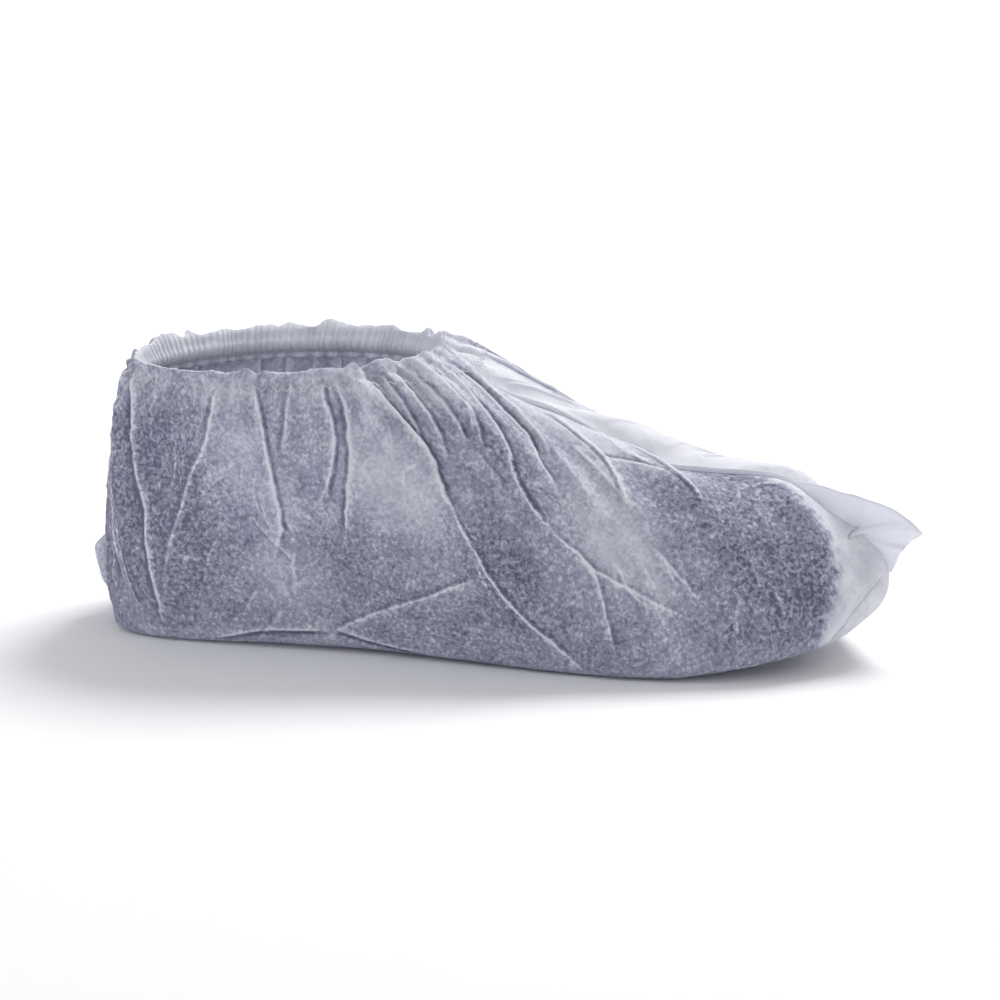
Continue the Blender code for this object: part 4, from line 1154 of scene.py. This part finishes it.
def nonwoven(name, pale, middle, shade, see_through):
    finish = Finish(name, middle)
    place = finish.node("ShaderNodeTexCoord").outputs["Object"]
    uv = finish.node("ShaderNodeUVMap", {"uv_map": "cloth"}).outputs["UV"]
    crest, tuck, pressed = (finish.attribute(key) for key in ("crest", "tuck", "pressed"))
    specks = finish.noise(place, 600.0, detail=1.5, roughness=0.6, distortion=0.4)
    worms = finish.noise(place, 290.0, detail=1.0, distortion=1.1)
    clouds = finish.noise(place, 90.0, detail=2.0, roughness=0.6)
    drifts = finish.noise(place, 24.0, detail=1.0)
    fibres = (1.0 - (worms - 0.5).size() * 11.0).clamped()
    speckle = (specks - 0.5) * 2.1 - (fibres - 0.4) * 0.27
    # Each crease line gets a thin painted highlight on its crest, painted shade beside it on the tuck side,
    # and a band of painted light on its other side.
    crest_highlight, tuck_shade, lit_side = 0.0, 0.0, 0.0
    for k in range(LINE_GROUPS):
        line = finish.node("ShaderNodeAttribute", {"attribute_name": f"line_{k}"}).outputs["Vector"]
        parts = finish.node("ShaderNodeSeparateXYZ", Vector=line).outputs
        off, held, shaded = (finish.value(parts[axis]) for axis in "XYZ")
        crest_highlight = (off * off * -3.0).exp() * held + crest_highlight
        tuck_shade = ((off - 1.45) * (off - 1.45) * -0.8).exp() * shaded + tuck_shade
        lit_side = ((off + 1.4) * (off + 1.4) * -0.7).exp() * held + lit_side
    grain = speckle * (0.20 + pressed * 0.70)
    # The depth of tone mixes the cloth's own specks and clouds with painted light and shade: paler on crests
    # and the lines' lit sides, darker in tucks, beside the lines, and where the cloth lay on the shoe.
    depth = (
        0.17 + pressed * 0.62 + grain + (clouds - 0.5) * 0.50 + (drifts - 0.5) * 0.26
        + tuck * 0.12 + tuck_shade * 0.52 - crest * 0.26 - lit_side * 0.14 - crest_highlight * (0.32 + clouds * 0.60)
    ).clamped()
    low = finish.mix((depth * 2.0).clamped(), (*pale, 1), (*middle, 1))
    colour = finish.mix((depth * 2.0 - 1.0).clamped(), low, (*shade, 1))
    finish.look(Base_Color=colour, Roughness=(0.80 + (specks - 0.5) * 0.25).clamped())
    # The pressed dots: a grid of small diamonds, in metres of cloth.
    spots = finish.node(
        "ShaderNodeTexVoronoi", {"feature": "F1", "distance": "CHEBYCHEV"},
        Vector=uv, Scale=640.0, Randomness=0.0,
    )
    dot = (1.0 - finish.value(spots.outputs["Distance"]) * 4.2).clamped()
    relief = (specks - 0.5) * 0.7 + (worms - 0.5) * 0.6 - dot * 0.35 + crest_highlight * 0.9
    bump = finish.node("ShaderNodeBump", Strength=0.55, Distance=0.00045, Height=relief)
    finish.look(Normal=bump.outputs["Normal"], Specular_IOR_Level=0.28)
    finish.look(Sheen_Weight=0.12, Sheen_Roughness=0.5)
    glow_colour = [min(0.5 * (p + m) + 0.1, 1) for p, m in zip(pale, middle)]
    glow = finish.node("ShaderNodeBsdfTranslucent", Color=(*glow_colour, 1))
    plain, glowing = finish.shader.outputs[0], glow.outputs[0]
    both = finish.node("ShaderNodeMixShader", Fac=see_through, i1=plain, i2=glowing)
    output = next(n for n in finish.tree.nodes if n.type == "OUTPUT_MATERIAL")
    feed(finish.tree, output.inputs["Surface"], both.outputs[0])
    return finish.material


def thread_finish():
    finish = Finish("stitch_thread", (0.9, 0.9, 0.92))
    place = finish.node("ShaderNodeTexCoord").outputs["Object"]
    diagonal = {"bands_direction": "DIAGONAL"}
    twist = finish.node("ShaderNodeTexWave", diagonal, Vector=place, Scale=900.0, Distortion=1.0)
    ply = finish.value(twist.outputs["Fac"])
    bump = finish.node("ShaderNodeBump", Strength=0.4, Distance=0.0001, Height=ply)
    colour = finish.mix(ply, (0.70, 0.71, 0.76, 1), (0.88, 0.89, 0.92, 1))
    finish.look(Base_Color=colour, Normal=bump.outputs["Normal"], Roughness=0.6)
    return finish.material


cloth_finish = nonwoven("nonwoven_cloth", PALE, MIDDLE, SHADE, 0.30)
hem_finish = nonwoven("hem_cloth", (0.90, 0.91, 0.96), (0.58, 0.585, 0.68), (0.28, 0.285, 0.37), 0.25)
thread = thread_finish()
for piece, finish in (
    (outer_cloth, cloth_finish), (sole_cloth, cloth_finish), (inner_cloth, cloth_finish),
    (front_seam_cloth, cloth_finish), (heel_seam_cloth, cloth_finish), (elastic_hem, hem_finish),
):
    piece.data.materials.append(finish)
print("materials:", len(bpy.data.materials))

# %% [markdown]
# ## Sew the rows
# The hem is held by a zigzag, on the elastic's line, and the two fins by slanted overlock threads over
# their free edges. Each path also carries the way out from the cloth, so that the threads lie on it.

# %% Lay the stitches
STITCHES = stitch_tree()


def stitch_row(name, path, out, closed, **sizes):
    count = len(path)
    edges = [(k, k + 1) for k in range(count - 1)] + ([(count - 1, 0)] if closed else [])
    mesh = bpy.data.meshes.new(name + "_path")
    mesh.from_pydata(path.tolist(), edges, [])
    ways = mesh.attributes.new("out", "FLOAT_VECTOR", "POINT").data
    ways.foreach_set("vector", out.astype(np.float32).ravel())
    guide = linked(name + "_guide", mesh)
    sewing = guide.modifiers.new("sewing", "NODES")
    sewing.node_group = STITCHES
    names = {s.name: s.identifier for s in STITCHES.interface.items_tree if s.in_out == "INPUT"}
    for key, value in {**sizes, "Thread": thread}.items():
        sewing[names[key.replace("_", " ")]] = value
    evaluated = guide.evaluated_get(bpy.context.evaluated_depsgraph_get())
    made = bpy.data.meshes.new_from_object(evaluated)
    made.name = name
    guide.modifiers.remove(sewing)
    bpy.data.objects.remove(guide)
    print(name + ":", len(made.polygons), "faces")
    return linked(name, made)


normals = way_out(cloth)
elastic_row = int(np.searchsorted(hem_depths[OUTER][hem_columns // 2], ELASTIC_DEPTH))
hem_cols = slice(3, hem_columns - 1)
hem_path = np.concatenate([cloth[hem_cols, elastic_row], cloth[hem_cols, -1 - elastic_row][::-1]])
hem_out = np.concatenate([normals[hem_cols, elastic_row], normals[hem_cols, -1 - elastic_row][::-1]])
hem_stitches = stitch_row(
    "hem_stitches", hem_path + hem_out * 0.25 * MM, hem_out, True,
    Spacing=1.9 * MM, Length=3.0 * MM, Thread_Radius=0.17 * MM, Slant=0.85, Rise=0.25 * MM, Seed=4,
)
OVERLOCK = dict(Spacing=2.6 * MM, Length=2.6 * MM, Thread_Radius=0.16 * MM, Slant=0.5, Rise=0.55 * MM)
sewn = fin_along < TOE_START
front_stitches = stitch_row(
    "front_seam_stitches", (fin_edge - edge_way * 0.5 * MM)[sewn], edge_way[sewn], False,
    Seed=9, **OVERLOCK,
)
heel_sewn = (heel_down > 0.06) & (heel_down < 0.72)
heel_stitches = stitch_row(
    "heel_seam_stitches", (heel_edge - heel_out * 0.5 * MM)[heel_sewn], heel_out[heel_sewn], False,
    Seed=11, **OVERLOCK,
)

# %% [markdown]
# ## Tie the pieces to the solid model
# Each piece rides on the body, and the solid that it stands for is hidden. For each piece of cloth the area
# is printed, next to the flat size that it was cut to.

# %% Ride, and hide the solids that the pieces stand for
for piece, node, slot_name in (
    (outer_cloth, "cover_shell", "nonwoven_cloth"),
    (inner_cloth, "cover_shell", "nonwoven_cloth"),
    (sole_cloth, "cover_shell", "nonwoven_cloth"),
    (front_seam_cloth, "front_seam", "seam_cloth"),
    (heel_seam_cloth, "heel_seam", "seam_cloth"),
    (elastic_hem, "opening_elastic", "covered_elastic"),
    (hem_stitches, None, "seam_cloth"),
    (front_stitches, None, "seam_cloth"),
    (heel_stitches, None, "seam_cloth"),
):
    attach(piece, "root")
    if node:
        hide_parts(node)


def area_of(points):
    """The area of a grid of points, in square metres."""
    a, b = points[1:, 1:] - points[:-1, :-1], points[1:, :-1] - points[:-1, 1:]
    return float(size_of(np.cross(a, b)).sum() / 2)


for piece, points, flat in (
    (outer_cloth, cloth[:, outer_rows], (0.40, 0.19)),
    (inner_cloth, cloth[:, inner_rows], (0.40, 0.19)),
    (sole_cloth, cloth[:, sole_rows_used], (0.33, 0.08)),
    (elastic_hem, hem_points, (0.40, 0.02)),
):
    area = area_of(points)
    print(piece.name, "area, square cm:", round(area * 1e4), "flat", flat)
    min(area, flat[0] * flat[1])

# %% [markdown]
# ## Floor, light and camera
# The cover stands on a plain pale floor that curves up behind it. A large soft light comes from above and
# behind, which makes the top glow and leaves the near side in soft shade. Weak ones from the heel's side and
# the front open the shade a little, and one more keeps the curved floor white.

# %% Set the stage
scene = bpy.context.scene
scene.view_settings.view_transform = "Standard"
floor_mesh = bpy.data.meshes.new("floor")
FLOOR_HALF, SWEEP_START, SWEEP_RADIUS, SWEEP_STEPS = 4.0, 1.6, 1.2, 24
turns = np.linspace(0, math.pi / 2, SWEEP_STEPS + 1)
floor_y = [-FLOOR_HALF, *(SWEEP_START + SWEEP_RADIUS * np.sin(turns)), SWEEP_START + SWEEP_RADIUS]
floor_z = [0.0, *(SWEEP_RADIUS * (1 - np.cos(turns))), FLOOR_HALF]
floor_points = [(x, y, z) for y, z in zip(floor_y, floor_z) for x in (-FLOOR_HALF, FLOOR_HALF)]
strips = range(0, 2 * len(floor_y) - 2, 2)
floor_mesh.from_pydata(floor_points, [], [(k, k + 1, k + 3, k + 2) for k in strips])
floor = linked("floor", floor_mesh)
floor.location.z = -0.0002
pale_floor = Finish("pale_floor", (0.9, 0.9, 0.9))
pale_floor.look(Base_Color=(0.88, 0.88, 0.89, 1), Roughness=0.9)
floor_mesh.materials.append(pale_floor.material)

world = bpy.data.worlds.new("studio")
world.use_nodes = True
for socket, value in (("Color", (0.97, 0.98, 1.0, 1)), ("Strength", 0.58)):
    world.node_tree.nodes["Background"].inputs[socket].default_value = value
scene.world = world

MIDDLE_OF_COVER = (0, 0, 0.05)
for name, place, target, size, power, colour in (
    ("key_above_behind", (0.35, 0.80, 1.30), MIDDLE_OF_COVER, 0.7, 20.0, (1.0, 0.99, 0.97)),
    ("side_from_heel", (-1.3, -0.5, 0.7), MIDDLE_OF_COVER, 0.6, 3.0, (0.96, 0.98, 1.0)),
    ("backdrop_light", (0, 1.3, 1.2), (0, 2.5, 0), 1.4, 26.0, (1, 1, 1)),
    ("front_fill", (0.5, -1.8, 0.9), MIDDLE_OF_COVER, 1.4, 3.0, (0.97, 0.98, 1.0)),
):
    lamp = bpy.data.lights.new(name, "AREA")
    lamp.shape, lamp.size, lamp.energy, lamp.color = "DISK", size, power, colour
    holder = bpy.data.objects.new(name, lamp)
    holder.location = place
    holder.rotation_euler = (Vector(target) - Vector(place)).to_track_quat("-Z", "Y").to_euler()
    scene.collection.objects.link(holder)

# %% The camera
AZIMUTH, ELEVATION = math.radians(12), math.radians(15)
LENS = 135.0
FRAME_WIDE = 0.395  # what the picture's width holds at the cover
level = math.cos(ELEVATION)
back = Vector((math.sin(AZIMUTH) * level, -math.cos(AZIMUTH) * level, math.sin(ELEVATION)))
camera_data = bpy.data.cameras.new("camera")
camera_data.lens = LENS
camera = bpy.data.objects.new("camera", camera_data)
scene.collection.objects.link(camera)
distance = FRAME_WIDE / 2 / (camera_data.sensor_width / 2 / LENS)
camera.location = Vector((0.0, 0.0, 0.055)) + back * distance
camera.rotation_euler = (-back).to_track_quat("-Z", "Y").to_euler()
scene.camera = camera
